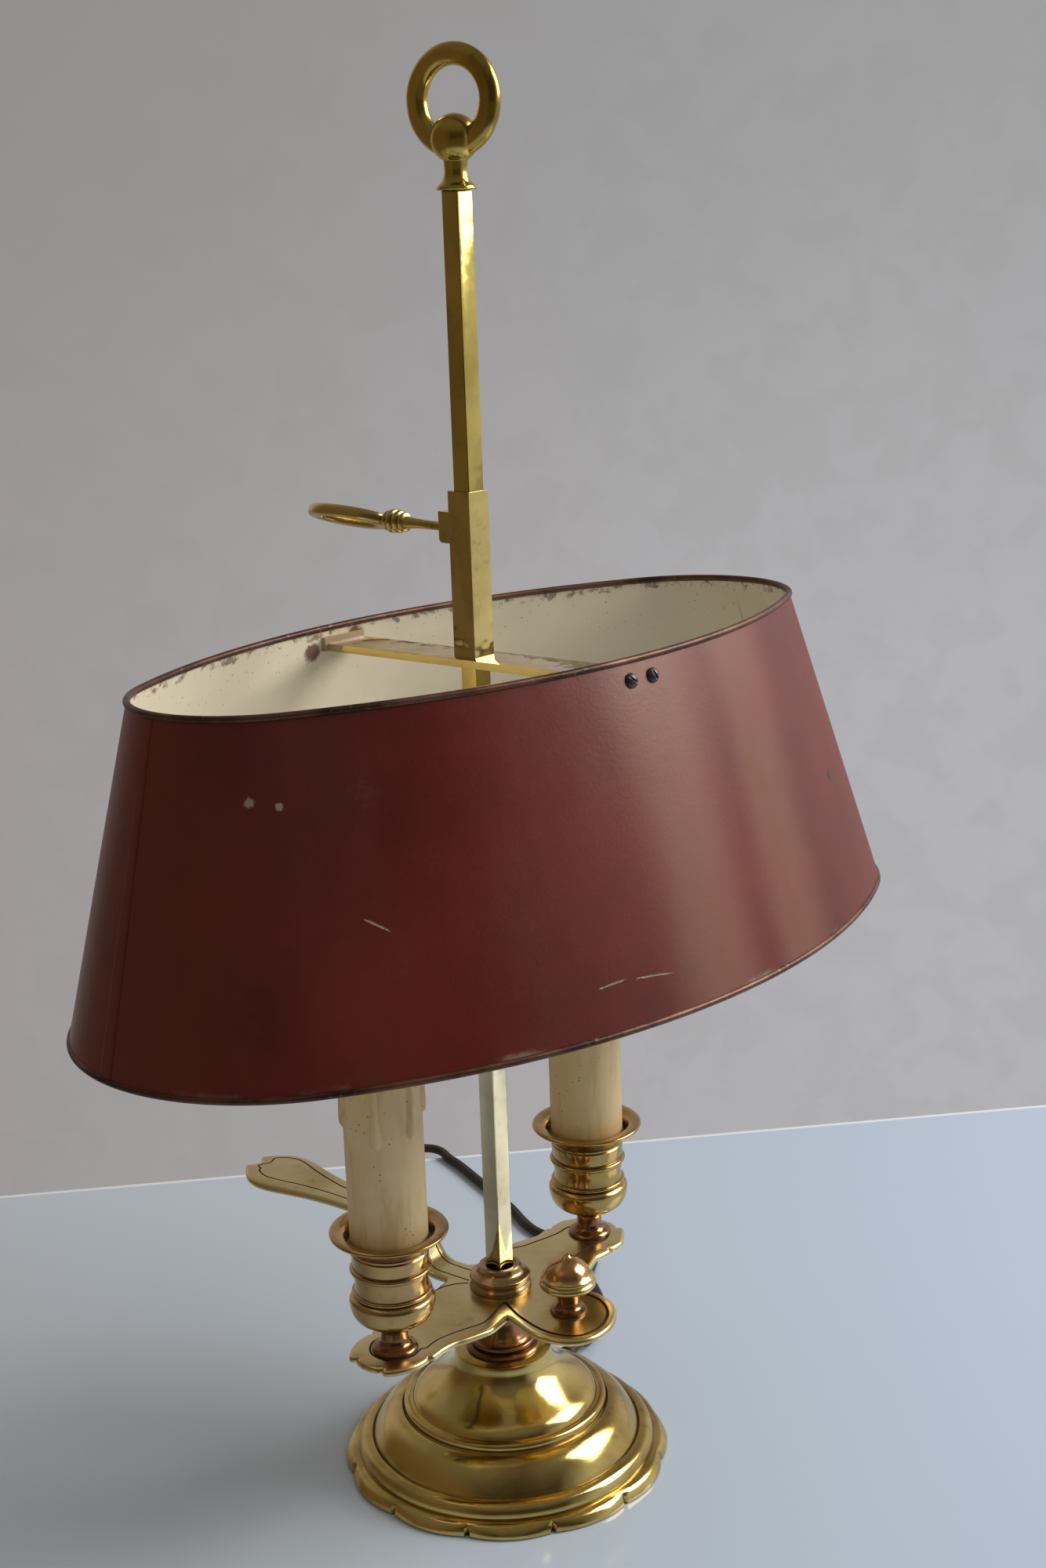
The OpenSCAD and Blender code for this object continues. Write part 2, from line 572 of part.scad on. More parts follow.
module key() color([0.73, 0.65, 0.28]) translate([0, 0, key_z]) rotate([-90, 0, 0]) difference() {
    union() {
        turned(concat([[0, key_y], [pad_r, key_y], [pad_r, boss_y + 0.2], [1.7, boss_y + 1],
            [1.7, 22]], bend([1.7, 24], [2, 31], [2.5, 34.4], 4), arc(2.9, 35.4, 1, -60, 60, 3),
            [[2.7, 36.6]], arc(3.2, 38.2, 1.2, -70, 70, 4), [[3, 39.8]],
            arc(3.4, 41.4, 1.2, -70, 70, 4), [[3, 43]], arc(3, 44.2, 0.9, -70, 70, 3),
            [[2.6, 46], [2.2, 47.6], [0, 47.6]]));
        rotate(bow_roll) bow(bow_len / 2, bow_w / 2, 4.2);
    }
    rotate(bow_roll) bow(bow_len / 2 - 4.8, bow_w / 2 - 4, 10);
}

// A flat oval with its long axis along the key, its near end at the beads
module bow(a, b, t) translate([0, t / 2, 46.6 + bow_len / 2]) rotate([90, 0, 0])
    linear_extrude(t) rotate(90) polygon(oval(a, b));

// Slotted screws from outside the wall into the bar's end
module wall_screw() {
    translate([0, 0, -6]) cylinder(h = 7, r = 1.25);
    difference() {
        translate([0, 0, 0.1]) cylinder(h = 1.7, r1 = 2.75, r2 = 2.35);
        translate([-3, -0.35, 1]) cube([6, 0.7, 2]);
    }
}

module screws_front() color([0.22, 0.22, 0.21]) at_shade() rotate(180)
    for (x = front_screws) at_screw(x) wall_screw();

module screws_back() color([0.22, 0.22, 0.21]) at_shade() for (x = back_screws)
    at_screw(x) wall_screw();

// ---- cord, switch and plug ----

cord_route = [[47.6, 15.5, 9.4], [55, 17.9, 9.4], [61.5, 20, 9.4], [68, 22.1, 9.2],
    [74, 24.4, 7.4], [80, 26.8, 4.4], [87, 30, 2.5], [96, 34, 2.4], [106, 40, 2.4],
    [114, 48, 2.4], [121, 57, 2.4], [127, 66, 2.4], [135, 73, 2.4], [144, 79, 2.4],
    [150, 88, 2.4], [151, 100, 2.4], [148, 111, 2.4], [148, 122, 2.4], [152, 134, 2.4],
    [158, 147, 2.4], [163, 161, 2.4], [168, 175, 2.4], [173, 190, 2.4], [178, 205, 2.4],
    [181, 217, 2.4], [184, 225.2, 2.4], [183.8, 232, 2.4], [180, 237.2, 2.4],
    [173.6, 240.2, 2.4], [166.4, 243, 2.4], [160.4, 247.8, 2.4], [157.4, 255, 2.4],
    [158.2, 263.4, 2.4], [162, 269.2, 2.5], [167.9, 273.6, 3.4], [174.4, 278.2, 5],
    [180.9, 282.8, 6.5], [187.3, 287.5, 7], [210, 304, 7], [232.7, 320.5, 7],
    [238, 325.4, 6.4], [241.6, 331.6, 4.8], [242.6, 339, 3.2], [241, 347.6, 2.4],
    [237.6, 357.4, 2.4], [233, 368, 2.4], [228.8, 379, 2.4], [227.2, 390, 2.4]];
tail_route = [[296.7, 390, 2.4], [296.7, 384, 2.5], [296, 378, 3.1], [294.7, 372.4, 4.5],
    [292.9, 367.2, 6.1], [290.9, 362.9, 7], [288.4, 357.7, 7]];

module cord() color([0.20, 0.18, 0.14]) tube(cord_route, cord_r);
module cord_tail() color([0.20, 0.18, 0.14]) tube(tail_route, cord_r);

// Outer shape of the spare cord, laid in a flat coil
module cord_coil() color([0.20, 0.18, 0.14]) translate([coil_xy[0], coil_xy[1], 0.1])
    rotate_extrude() translate([coil_r, 0]) polygon(concat(arc(-4.6, 2.3, 2.3, 180, 270, 3),
        arc(4.6, 2.3, 2.3, -90, 0, 3), arc(4.6, 10.7, 2.3, 0, 90, 3),
        arc(-4.6, 10.7, 2.3, 90, 180, 3)));

module at_switch() translate([switch_xy[0], switch_xy[1], 0]) rotate(switch_yaw) children();

module switch_body() color([0.22, 0.16, 0.11]) at_switch() difference() {
    intersection() {
        linear_extrude(18) polygon([[-28, -6], [-25, -10], [-18, -13], [18, -13], [25, -10],
            [28, -6], [28, 6], [25, 10], [18, 13], [-18, 13], [-25, 10], [-28, 6]]);
        translate([0, 20, 0]) rotate([90, 0, 0]) linear_extrude(40) polygon([[-28, 0], [28, 0],
            [28, 11], [24, 16], [18, 18], [-18, 18], [-24, 16], [-28, 11]]);
    }
    translate([-40, 0, 7]) rotate([0, 90, 0]) cylinder(h = 80, r = cord_r + 0.2);
    translate([-10, -5, 11]) cube([20, 10, 10]);
}

// A rocker that turns on a pin across its pocket
module switch_rocker() color([0.55, 0.50, 0.42]) at_switch() translate([0, 4.6, 0])
    rotate([90, 0, 0]) linear_extrude(9.2) {
        polygon([[-9, 19.6], [-9.4, 17], [-4.9, 15.9], [4.9, 15.9], [9.4, 17], [9, 19.6],
            [0, 18.6]]);
        intersection() {
            translate([0, 17]) circle(r = 5);
            translate([-6, 11]) square([12, 6]);
        }
    }

module at_plug() translate([283.8, 348.1, 7]) rotate(64.5) children();

module plug_body() color([0.13, 0.12, 0.11]) at_plug() difference() {
    intersection() {
        translate([0, 0, -6.9]) linear_extrude(13.8) polygon([[12, -4], [12, 4], [4, 6],
            [-10, 12.6], [-22, 12.6], [-24, 10.6], [-24, -10.6], [-22, -12.6], [-10, -12.6],
            [4, -6]]);
        rotate([90, 0, 0]) translate([0, 0, -20]) linear_extrude(40) polygon([[12, -4.5],
            [12, 4.5], [0, 6.9], [-22, 6.9], [-24, 5], [-24, -5], [-22, -6.9], [0, -6.9]]);
    }
    translate([0.5, 0, 0]) rotate([0, 90, 0]) cylinder(h = 20, r = cord_r + 0.2);
    for (y = [-9, 9]) translate([-30, y, 0]) rotate([0, 90, 0]) cylinder(h = 18, r = 2 + run);
}

module plug_pins() color([0.76, 0.74, 0.66]) at_plug() for (y = [-9, 9])
    translate([-43, y, 0]) rotate([0, 90, 0]) cylinder(h = 30.5, r = 2);

foot();
foot_weight();
foot_felt();
base_washer();
base_nut();
cord_bushing();
lower_collar();
arm_plate();
stem_collar();
stem_rod();
finial();
finial_ring();
acorn();
acorn_nut();
cup_left();
cup_right();
nipple_left();
nipple_right();
cup_nut_left();
cup_nut_right();
candle_left();
candle_right();
socket_left();
socket_right();
bulb_cap_left();
bulb_cap_right();
bulb_glass_left();
bulb_glass_right();
lead_left();
lead_right();
shade_front();
shade_back();
seam_left();
seam_right();
rim_top();
rim_bottom();
carrier();
pressure_pad();
key();
screws_front();
screws_back();
cord();
cord_tail();
cord_coil();
switch_body();
switch_rocker();
plug_body();
plug_pins();
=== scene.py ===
"""Bouillotte lamp: the visible pieces and their finishes, built round the lamp's fixed frame.

Lengths in the lists below are millimetres in the frame's own axes: the foot stands on z = 0,
the candle arms point to -X and +X, the acorn to -Y, and the handle and thumb key to +Y.
Profiles of turned pieces are (radius, height).
"""
import json
import math

import bpy
from mathutils import Matrix, Vector
from mathutils.geometry import intersect_line_line_2d

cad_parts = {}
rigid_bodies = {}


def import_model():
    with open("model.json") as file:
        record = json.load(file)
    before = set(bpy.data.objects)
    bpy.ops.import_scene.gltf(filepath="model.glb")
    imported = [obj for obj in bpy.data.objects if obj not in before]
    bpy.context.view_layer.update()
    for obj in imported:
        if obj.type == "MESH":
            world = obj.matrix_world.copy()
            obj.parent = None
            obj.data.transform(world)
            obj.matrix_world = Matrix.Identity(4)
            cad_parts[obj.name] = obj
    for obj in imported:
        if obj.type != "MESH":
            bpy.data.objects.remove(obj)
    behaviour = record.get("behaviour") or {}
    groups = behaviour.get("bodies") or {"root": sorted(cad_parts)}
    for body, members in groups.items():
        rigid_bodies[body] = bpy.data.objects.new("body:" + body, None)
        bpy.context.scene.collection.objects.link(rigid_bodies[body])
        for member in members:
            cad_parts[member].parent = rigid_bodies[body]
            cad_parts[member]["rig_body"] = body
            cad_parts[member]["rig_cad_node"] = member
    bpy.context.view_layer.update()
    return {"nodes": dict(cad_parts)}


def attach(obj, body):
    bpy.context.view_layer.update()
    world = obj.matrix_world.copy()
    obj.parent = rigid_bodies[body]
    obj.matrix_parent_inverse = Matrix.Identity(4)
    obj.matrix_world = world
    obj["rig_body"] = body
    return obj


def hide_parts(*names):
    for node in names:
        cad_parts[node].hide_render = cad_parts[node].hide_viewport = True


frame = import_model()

NODES = frame["nodes"]

bl_info = {
    "name": "Bouillotte lamp",
    "version": (1, 0, 0),
    "blender": (4, 5, 0),
    "location": "3D View > Sidebar > Lamp",
    "description": "Builds the pieces and finishes of a two-light bouillotte lamp",
    "category": "Add Mesh",
}


# ---- sizes that several pieces share ----

MM, WELD = 0.001, 2e-6
PLATE_Z, PLATE_T, PLATE_YAW = 75.2, 2.5, 3.2
PLATE_MID = PLATE_Z - PLATE_T / 2
REACH_LEFT, REACH_RIGHT, REACH_ACORN = 63.1, 58.9, 36.0
HANDLE_YAW, HANDLE_SHIFT, HANDLE_LEN, STRAP_W = 3.4, -0.6, 137.5, 15.4
FOOT_R, FOOT_H, FLANGE_H, SCALLOPS = 67.4, 48.0, 5.2, 12
DISH_Z, CANDLE_R, CANDLE_LEN, NIPPLE_R = 121.6, 15.2, 85.0, 4.05
CANDLE_TOP = DISH_Z + CANDLE_LEN
SOCKET_Z, SOCKET_TOP, BULB_TOP = DISH_Z + 2.4, CANDLE_TOP - 3, 288.0
ROD_W, ROD_TOP, RING_R, RING_BAR, RING_YAW = 8.0, 510.0, 15.7, 4.1, 11.0
SHADE_TOP, SHADE_H, SHADE_A, SHADE_B = 345.0, 119.2, 182.6, 111.2
END_R, LEAN_IN = 82.6, 32.6
SHADE_XY, TILT, SHADE_YAW = (1.5, -3.4), (-1.86, -0.48), -4.0
END_C = SHADE_A - END_R
SIDE_RISE = SHADE_B - END_R
SIDE_D = (END_C ** 2 - SIDE_RISE ** 2) / (2 * SIDE_RISE)
SIDE_R = SHADE_B + SIDE_D
END_ANGLE = math.atan2(SIDE_D, END_C)
LEAN = LEAN_IN / SHADE_H
KEY_Z, BOSS_Y, BOW_LEN, BOW_W, BOW_ROLL = 387.4, 11.7, 41.0, 23.0, 22.0
FRONT_SCREWS, BACK_SCREWS, SCREW_DROP = (-9.4, 2.8), (-1.0, -15.6), 6.2

# The camera's place and its own ways, the level ways to the window and to the table's edge, and
# how far off that edge is in metres
CAMERA_AT = (-573.78, -573.78, 508.20)
CAMERA_AHEAD = Vector((0.69608, 0.6685, -0.26188))
CAMERA_RIGHT = Vector((0.68569, -0.72712, -0.03354))
CAMERA_UP = CAMERA_RIGHT.cross(CAMERA_AHEAD)
TO_WINDOW, TO_TABLE_EDGE, TABLE_EDGE = (0.85, -0.53, 0), (0.631, 0.776, 0), 0.288
WINDOW_AIM, WINDOW_AWAY, WINDOW_LOOKS_AT = (0.78, -0.60, 0.60), 1.6, (0, 0, 320)


# ---- drawing ----

def mm(*values):
    """Millimetres as Blender's metres."""
    return tuple(v * MM for v in values)


def arc(x, y, r, start, end, n=8):
    """Points on an arc round (x, y), angles in degrees."""
    turns = [math.radians(start + (end - start) * i / n) for i in range(n + 1)]
    return [(x + r * math.cos(a), y + r * math.sin(a)) for a in turns]


def bend(a, b, c, n=12):
    """Points on a quadratic curve from a to c, pulled towards b."""
    return [tuple(p * (1 - t) ** 2 + 2 * q * t * (1 - t) + r * t * t
                  for p, q, r in zip(a, b, c)) for t in (i / n for i in range(n + 1))]


def smooth_run(points, n=5):
    """A smooth run through every point."""
    last, out = len(points) - 1, []
    for i in range(last):
        four = [points[max(i - 1, 0)], points[i], points[i + 1], points[min(i + 2, last)]]
        for t in (j / n for j in range(n)):
            out.append(tuple(0.5 * (2 * q + (r - p) * t + (2 * p - 5 * q + 4 * r - s) * t * t
                                    + (3 * q - p - 3 * r + s) * t ** 3)
                             for p, q, r, s in zip(*four)))
    return out + [tuple(points[-1])]


def mirrored(points):
    return [(x, -y) for x, y in reversed(points)]


def inset(outline, distance):
    """An outline moved inwards; where a corner is too tight, its points are drawn together."""
    count = len(outline)
    places = [Vector(p) for p in outline]
    moved = []
    for i, place in enumerate(places):
        along = (places[(i + 1) % count] - places[i - 1]).normalized()
        moved.append(place + distance * Vector((-along.y, along.x)))
    sides = [(a, b - a) for a, b in zip(places, places[1:] + places[:1])]

    def clear_of_sides(spot):
        for a, side in sides:
            away = spot - a
            if abs(away.x) + abs(away.y) < 12:
                near = max(0.0, min(1.0, away.dot(side) / side.length_squared))
                if (away - side * near).length < 0.96 * distance:
                    return False
        return True

    good = [i for i in range(count) if clear_of_sides(moved[i])]
    ring = [moved[min(good, key=lambda j: min((i - j) % count, (j - i) % count))]
            for i in range(count)]
    for i in range(count):
        for gap in range(2, 40):
            j = (i + gap) % count
            a, b, c, d = ring[i], ring[(i + 1) % count], ring[j], ring[(j + 1) % count]
            if a != b and c != d:
                meet = intersect_line_line_2d(a, b, c, d)
                if meet and min((meet - p).length for p in (a, b, c, d)) > 1e-5:
                    for k in range(i + 1, i + gap + 1):
                        ring[k % count] = meet.copy()
                    break
    return [tuple(p) for p in ring]


def spaced(points, gap):
    """Drops each point that is nearer than the gap to the one before it."""
    return [p for i, p in enumerate(points) if i == 0 or math.dist(p, points[i - 1]) > gap]


def round_steps(n):
    """The angles of n equal steps round a full turn."""
    return [2 * math.pi * i / n for i in range(n)]


def eased(t):
    """0 to 1, slow at both ends."""
    return t * t * (3 - 2 * t)


def turn(point, degrees):
    """A point in plan, turned round the origin."""
    a = math.radians(degrees)
    return (point[0] * math.cos(a) - point[1] * math.sin(a),
            point[0] * math.sin(a) + point[1] * math.cos(a))


def rotation(degrees, axis):
    return Matrix.Rotation(math.radians(degrees), 4, axis)


def shift(x, y, z):
    return Matrix.Translation(mm(x, y, z))


AT_PLATE = rotation(PLATE_YAW, "Z")
AT_SHADE = (shift(*SHADE_XY, SHADE_TOP) @ rotation(TILT[0], "X") @ rotation(TILT[1], "Y")
            @ rotation(SHADE_YAW, "Z"))
LEFT = turn((-REACH_LEFT, 0), PLATE_YAW)
RIGHT = turn((REACH_RIGHT, 0), PLATE_YAW)
ACORN = turn((0, -REACH_ACORN), PLATE_YAW)


# ---- modelling steps ----

def clear():
    """Leaves edit mode and drops the selection."""
    if bpy.context.mode != "OBJECT":
        bpy.ops.object.mode_set(mode="OBJECT")
    bpy.ops.object.select_all(action="DESELECT")


def pick(*objects):
    clear()
    for thing in objects:
        thing.select_set(True)
    bpy.context.view_layer.objects.active = objects[-1]


def named(name):
    """The object just made, under its name."""
    piece = bpy.context.active_object
    piece.name = name
    return piece


def edit(piece):
    pick(piece)
    bpy.ops.object.mode_set(mode="EDIT")
    bpy.ops.mesh.select_mode(type="VERT")
    bpy.ops.mesh.select_all(action="SELECT")


def closed_up():
    """Welds and turns outwards the mesh being edited, then leaves it."""
    bpy.ops.mesh.select_all(action="SELECT")
    bpy.ops.mesh.remove_doubles(threshold=WELD)
    bpy.ops.mesh.normals_make_consistent(inside=False)
    bpy.ops.object.mode_set(mode="OBJECT")


def softened(piece, crease=32):
    pick(piece)
    bpy.ops.object.shade_smooth_by_angle(angle=math.radians(crease))
    return piece


def placed(piece, matrix):
    """Moves the mesh, and leaves its object at the origin."""
    pick(piece)
    piece.matrix_world = matrix
    bpy.context.view_layer.update()
    bpy.ops.object.transform_apply(location=True, rotation=True, scale=True)
    return piece


def modified(piece, kind, **settings):
    """Adds a modifier with these settings and applies it."""
    pick(piece)
    bpy.ops.object.modifier_add(type=kind)
    step = piece.modifiers[-1]
    for name, value in settings.items():
        setattr(step, name, value)
    bpy.ops.object.modifier_apply(modifier=step.name)


def joined(piece, other, operation, **settings):
    """Unites or cuts two closed shapes; the other shape is used up."""
    modified(piece, "BOOLEAN", operation=operation, solver="EXACT", object=other, **settings)
    pick(other)
    bpy.ops.object.delete()


def bored(piece, r, depth, at=(0, 0, 0), sides=32):
    """Cuts an upright round hole, half its depth above the place and half below."""
    clear()
    bpy.ops.mesh.primitive_cylinder_add(vertices=sides, radius=r * MM, depth=depth * MM,
                                        location=mm(*at))
    joined(piece, bpy.context.active_object, "DIFFERENCE")


def merged(name, *pieces):
    """Several pieces as one object."""
    pick(*pieces)
    bpy.ops.object.join()
    return named(name)


def drawn(name, points, closed=False):
    """Edit mode on a line of points, drawn from one vertex by extruding it."""
    clear()
    bpy.ops.mesh.primitive_plane_add(size=0.01, location=(0, 0, 0))
    piece = named(name)
    bpy.ops.object.mode_set(mode="EDIT")
    bpy.ops.mesh.select_mode(type="VERT")
    bpy.ops.mesh.select_all(action="SELECT")
    bpy.ops.mesh.merge(type="CENTER")
    bpy.ops.transform.translate(value=mm(*points[0]))
    path = list(points) + ([points[0]] if closed else [])
    for a, b in zip(path, path[1:]):
        bpy.ops.mesh.extrude_vertices_move(
            TRANSFORM_OT_translate={"value": mm(*(q - p for p, q in zip(a, b)))})
    bpy.ops.mesh.select_all(action="SELECT")
    if closed:
        bpy.ops.mesh.remove_doubles(threshold=WELD)
    return piece


def turned(name, profile, at=(0, 0), steps=96, crease=32):
    """A lathe piece: a profile of (radius, z) spun round an upright axis."""
    piece = drawn(name, [(x, 0, z) for x, z in spaced(profile, 0.01)])
    bpy.ops.mesh.spin(steps=steps, angle=2 * math.pi, center=(0, 0, 0), axis=(0, 0, 1))
    closed_up()
    placed(piece, shift(*at, 0))
    return softened(piece, crease)


def lofted(name, rings, loop=False, crease=35):
    """A skin over closed rings of points, from a grid whose rows take the rings' places."""
    rows = [list(ring) + [ring[0]] for ring in (rings + rings[:1] if loop else rings)]
    clear()
    bpy.ops.mesh.primitive_grid_add(x_subdivisions=len(rows[0]) - 1,
                                    y_subdivisions=len(rows) - 1, size=1, location=(0, 0, 0))
    piece = named(name)
    flat = [c * MM for row in rows for point in row for c in point]
    if len(flat) != 3 * len(piece.data.vertices):
        raise RuntimeError(f"{name}: the grid has {len(piece.data.vertices)} points")
    piece.data.vertices.foreach_set("co", flat)
    edit(piece)
    bpy.ops.mesh.remove_doubles(threshold=WELD)
    if not loop:
        bpy.ops.mesh.select_all(action="SELECT")
        bpy.ops.mesh.fill_holes(sides=0)
    closed_up()
    return softened(piece, crease)


def tube(name, route, radius, sides=10, up=(0, 0, 1), outline=None):
    """A tube along a route; radius is a number or a function of 0..1 along it."""
    route, rings = [Vector(p) for p in route], []
    shape = outline or [(math.cos(a), math.sin(a)) for a in round_steps(sides)]
    for i, point in enumerate(route):
        along = (route[min(i + 1, len(route) - 1)] - route[max(i - 1, 0)]).normalized()
        side = along.cross(Vector(up)).normalized()
        top = side.cross(along)
        r = radius(i / (len(route) - 1)) if callable(radius) else radius
        rings.append([point + r * (x * side + y * top) for x, y in shape])
    return lofted(name, rings)


def box_piece(name, low, high, rounding=0.0):
    """A block between two corners, its edges rounded."""
    clear()
    middle = [(a + b) / 2 for a, b in zip(low, high)]
    bpy.ops.mesh.primitive_cube_add(size=1, location=mm(*middle),
                                    scale=mm(*(b - a for a, b in zip(low, high))))
    piece = named(name)
    bpy.ops.object.transform_apply(location=True, rotation=True, scale=True)
    if rounding:
        edit(piece)
        bpy.ops.mesh.bevel(offset=rounding * MM, segments=3, affect="EDGES")
        bpy.ops.object.mode_set(mode="OBJECT")
    return piece


def copied(name, node, rounding, angle=34):
    """A frame solid's own shape with its edges rounded."""
    pick(NODES[node])
    bpy.ops.object.duplicate(linked=False)
    piece = named(name)
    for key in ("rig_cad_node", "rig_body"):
        if key in piece:
            del piece[key]
    piece.parent = None
    piece.data.materials.clear()
    edit(piece)
    bpy.ops.mesh.remove_doubles(threshold=WELD)
    bpy.ops.mesh.dissolve_limited(angle_limit=math.radians(0.8))
    bpy.ops.mesh.normals_make_consistent(inside=False)
    bpy.ops.object.mode_set(mode="OBJECT")
    modified(piece, "BEVEL", width=rounding * MM, segments=3, limit_method="ANGLE",
             angle_limit=math.radians(angle), use_clamp_overlap=True)
    return softened(piece, 30)


FINISHES = {}


def coated(piece, *finishes):
    """Gives a piece its finishes, in order."""
    for finish in finishes:
        piece.data.materials.append(FINISHES[finish])


def put_on(piece, body, slot, finish, *nodes, at=None, crease=None):
    """Gives a piece its place, finish, body and the frame solids that it replaces."""
    if at:
        placed(piece, at)
    if crease:
        softened(piece, crease)
    if not piece.data.materials:
        coated(piece, finish)
    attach(piece, body)
    if nodes:
        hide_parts(*nodes)


def dressed(finish, *nodes):
    """Frame solids that stay, in a better finish."""
    for node in nodes:
        for place in NODES[node].material_slots:
            place.material = FINISHES[finish]


# ---- finishes ----

def tint(tone, share):
    """A share of a tone, which makes it darker."""
    return tuple(share * c for c in tone)


class Amount:
    """A number that a node gives. Sums written with it add the Math nodes that they need."""

    def __init__(self, finish, socket):
        self.finish, self.socket = finish, socket

    def __add__(self, other):
        return self.finish.maths("ADD", self, other)

    def __sub__(self, other):
        return self.finish.maths("SUBTRACT", self, other)

    def __rsub__(self, other):
        return self.finish.maths("SUBTRACT", other, self)

    def __mul__(self, other):
        return self.finish.maths("MULTIPLY", self, other)

    def __pow__(self, other):
        return self.finish.maths("POWER", self, other)

    def __rpow__(self, other):
        return self.finish.maths("POWER", other, self)

    __radd__, __rmul__ = __add__, __mul__

    def most(self, other):
        """The larger of two amounts."""
        return self.finish.maths("MAXIMUM", self, other)

    def clipped(self):
        """Held between 0 and 1."""
        return self.finish.maths("ADD", self, 0.0, clamp=True)

    def rise(self, start, end):
        """0 before start and 1 after end, eased between them; end may be the lower one."""
        node = self.finish.add("ShaderNodeMapRange", {"interpolation_type": "SMOOTHSTEP"},
                               {0: self, 1: start, 2: end, 3: 0.0, 4: 1.0})
        return Amount(self.finish, node.outputs[0])


class Finish:
    """A procedural material, or the world, built a node at a time."""

    def __init__(self, name, world=False):
        if world:
            self.data = bpy.context.scene.world = bpy.data.worlds.new(name)
        else:
            self.data = bpy.data.materials.new(name)
        self.data.use_nodes = True
        self.tree = self.data.node_tree
        self.tree.nodes.clear()
        self.output = self.add("ShaderNodeOutputWorld" if world else "ShaderNodeOutputMaterial")

    def add(self, kind, settings=None, values=None):
        """One node: its settings are set first, then its sockets' values or links."""
        node = self.tree.nodes.new(kind)
        for name, setting in (settings or {}).items():
            setattr(node, name, setting)
        for name, value in (values or {}).items():
            value = value.socket if isinstance(value, Amount) else value
            if isinstance(value, bpy.types.NodeSocket):
                self.tree.links.new(value, node.inputs[name])
            else:
                socket = node.inputs[name]
                wide = socket.type == "RGBA" and len(value) == 3
                socket.default_value = (*value, 1) if wide else value
        return node

    def maths(self, operation, *amounts, clamp=False):
        node = self.add("ShaderNodeMath", {"operation": operation, "use_clamp": clamp},
                        dict(enumerate(amounts)))
        return Amount(self, node.outputs[0])

    def vector(self, operation, *vectors):
        """A vector sum; a distance, length or dot product comes back as a number."""
        node = self.add("ShaderNodeVectorMath", {"operation": operation},
                        dict(enumerate(vectors)))
        if operation in ("DOT_PRODUCT", "LENGTH", "DISTANCE"):
            return Amount(self, node.outputs["Value"])
        return node.outputs["Vector"]

    def along(self, vector, way):
        """How far a vector goes one way."""
        return self.vector("DOT_PRODUCT", vector, way)

    def height(self, spot):
        """How high a place is, in metres."""
        return Amount(self, self.add("ShaderNodeSeparateXYZ", None, {0: spot}).outputs[2])

    def point(self, scale=None):
        """The place on the object, its measures scaled if asked."""
        spot = self.add("ShaderNodeTexCoord").outputs["Object"]
        if scale is None:
            return spot
        return self.add("ShaderNodeMapping", None, {"Vector": spot, "Scale": scale}).outputs[0]

    def noise(self, spot, scale, detail=2.0, rough=0.5, distort=0.0):
        node = self.add("ShaderNodeTexNoise", None,
                        {"Vector": spot, "Scale": scale, "Detail": detail,
                         "Roughness": rough, "Distortion": distort})
        return Amount(self, node.outputs[0])

    def specks(self, spot, scale):
        """Distance to the nearest of many scattered points."""
        node = self.add("ShaderNodeTexVoronoi", None, {"Vector": spot, "Scale": scale})
        return Amount(self, node.outputs["Distance"])

    def mix(self, a, b, factor):
        node = self.add("ShaderNodeMix", {"data_type": "RGBA"}, {0: factor, 6: a, 7: b})
        return node.outputs[2]

    def hollow(self, reach):
        """1 in a narrow recess, 0 in the open."""
        node = self.add("ShaderNodeAmbientOcclusion", {"samples": 6}, {"Distance": reach})
        return 1 - Amount(self, node.outputs["AO"])

    def lathe_marks(self, x, y):
        """Fine rings round an upright axis, as turning leaves them."""
        spot = self.vector("SUBTRACT", self.point(), mm(x, y, 0))
        radius = self.vector("LENGTH", self.vector("MULTIPLY", spot, (1, 1, 0)))
        rings = self.add("ShaderNodeCombineXYZ", None, {0: radius, 1: self.height(spot)})
        return self.noise(rings.outputs[0], 2600, 3, 0.7)

    def on_shade(self, spot, way):
        """How far a place lies from the middle of the shade's top, along one of its own ways."""
        offset = self.vector("SUBTRACT", spot, tuple(AT_SHADE.translation))
        return self.along(offset, tuple(AT_SHADE.to_3x3() @ Vector(way)))

    def from_line(self, spot, start, end, width):
        """Distance from a short line, in an oval as long as the line and this wide."""
        run = Vector(mm(*end)) - Vector(mm(*start))
        offset = self.vector("SUBTRACT", spot, tuple(Vector(mm(*start)) + run / 2))
        along = self.along(offset, tuple(run.normalized()))
        thin = (width * MM / max(run.length / 2, width * MM)) ** 2
        return (self.along(offset, offset) - along * along * (1 - thin)) ** 0.5

    def surface(self, values, relief=None, strength=0.8):
        """The finish's shader; relief is the height of its small marks, in metres."""
        if relief is not None:
            values["Normal"] = self.add("ShaderNodeBump", None, {
                "Height": relief, "Distance": 1.0, "Strength": strength}).outputs[0]
        shader = self.add("ShaderNodeBsdfPrincipled", None, values)
        self.tree.links.new(shader.outputs[0], self.output.inputs[0])
        return self.data


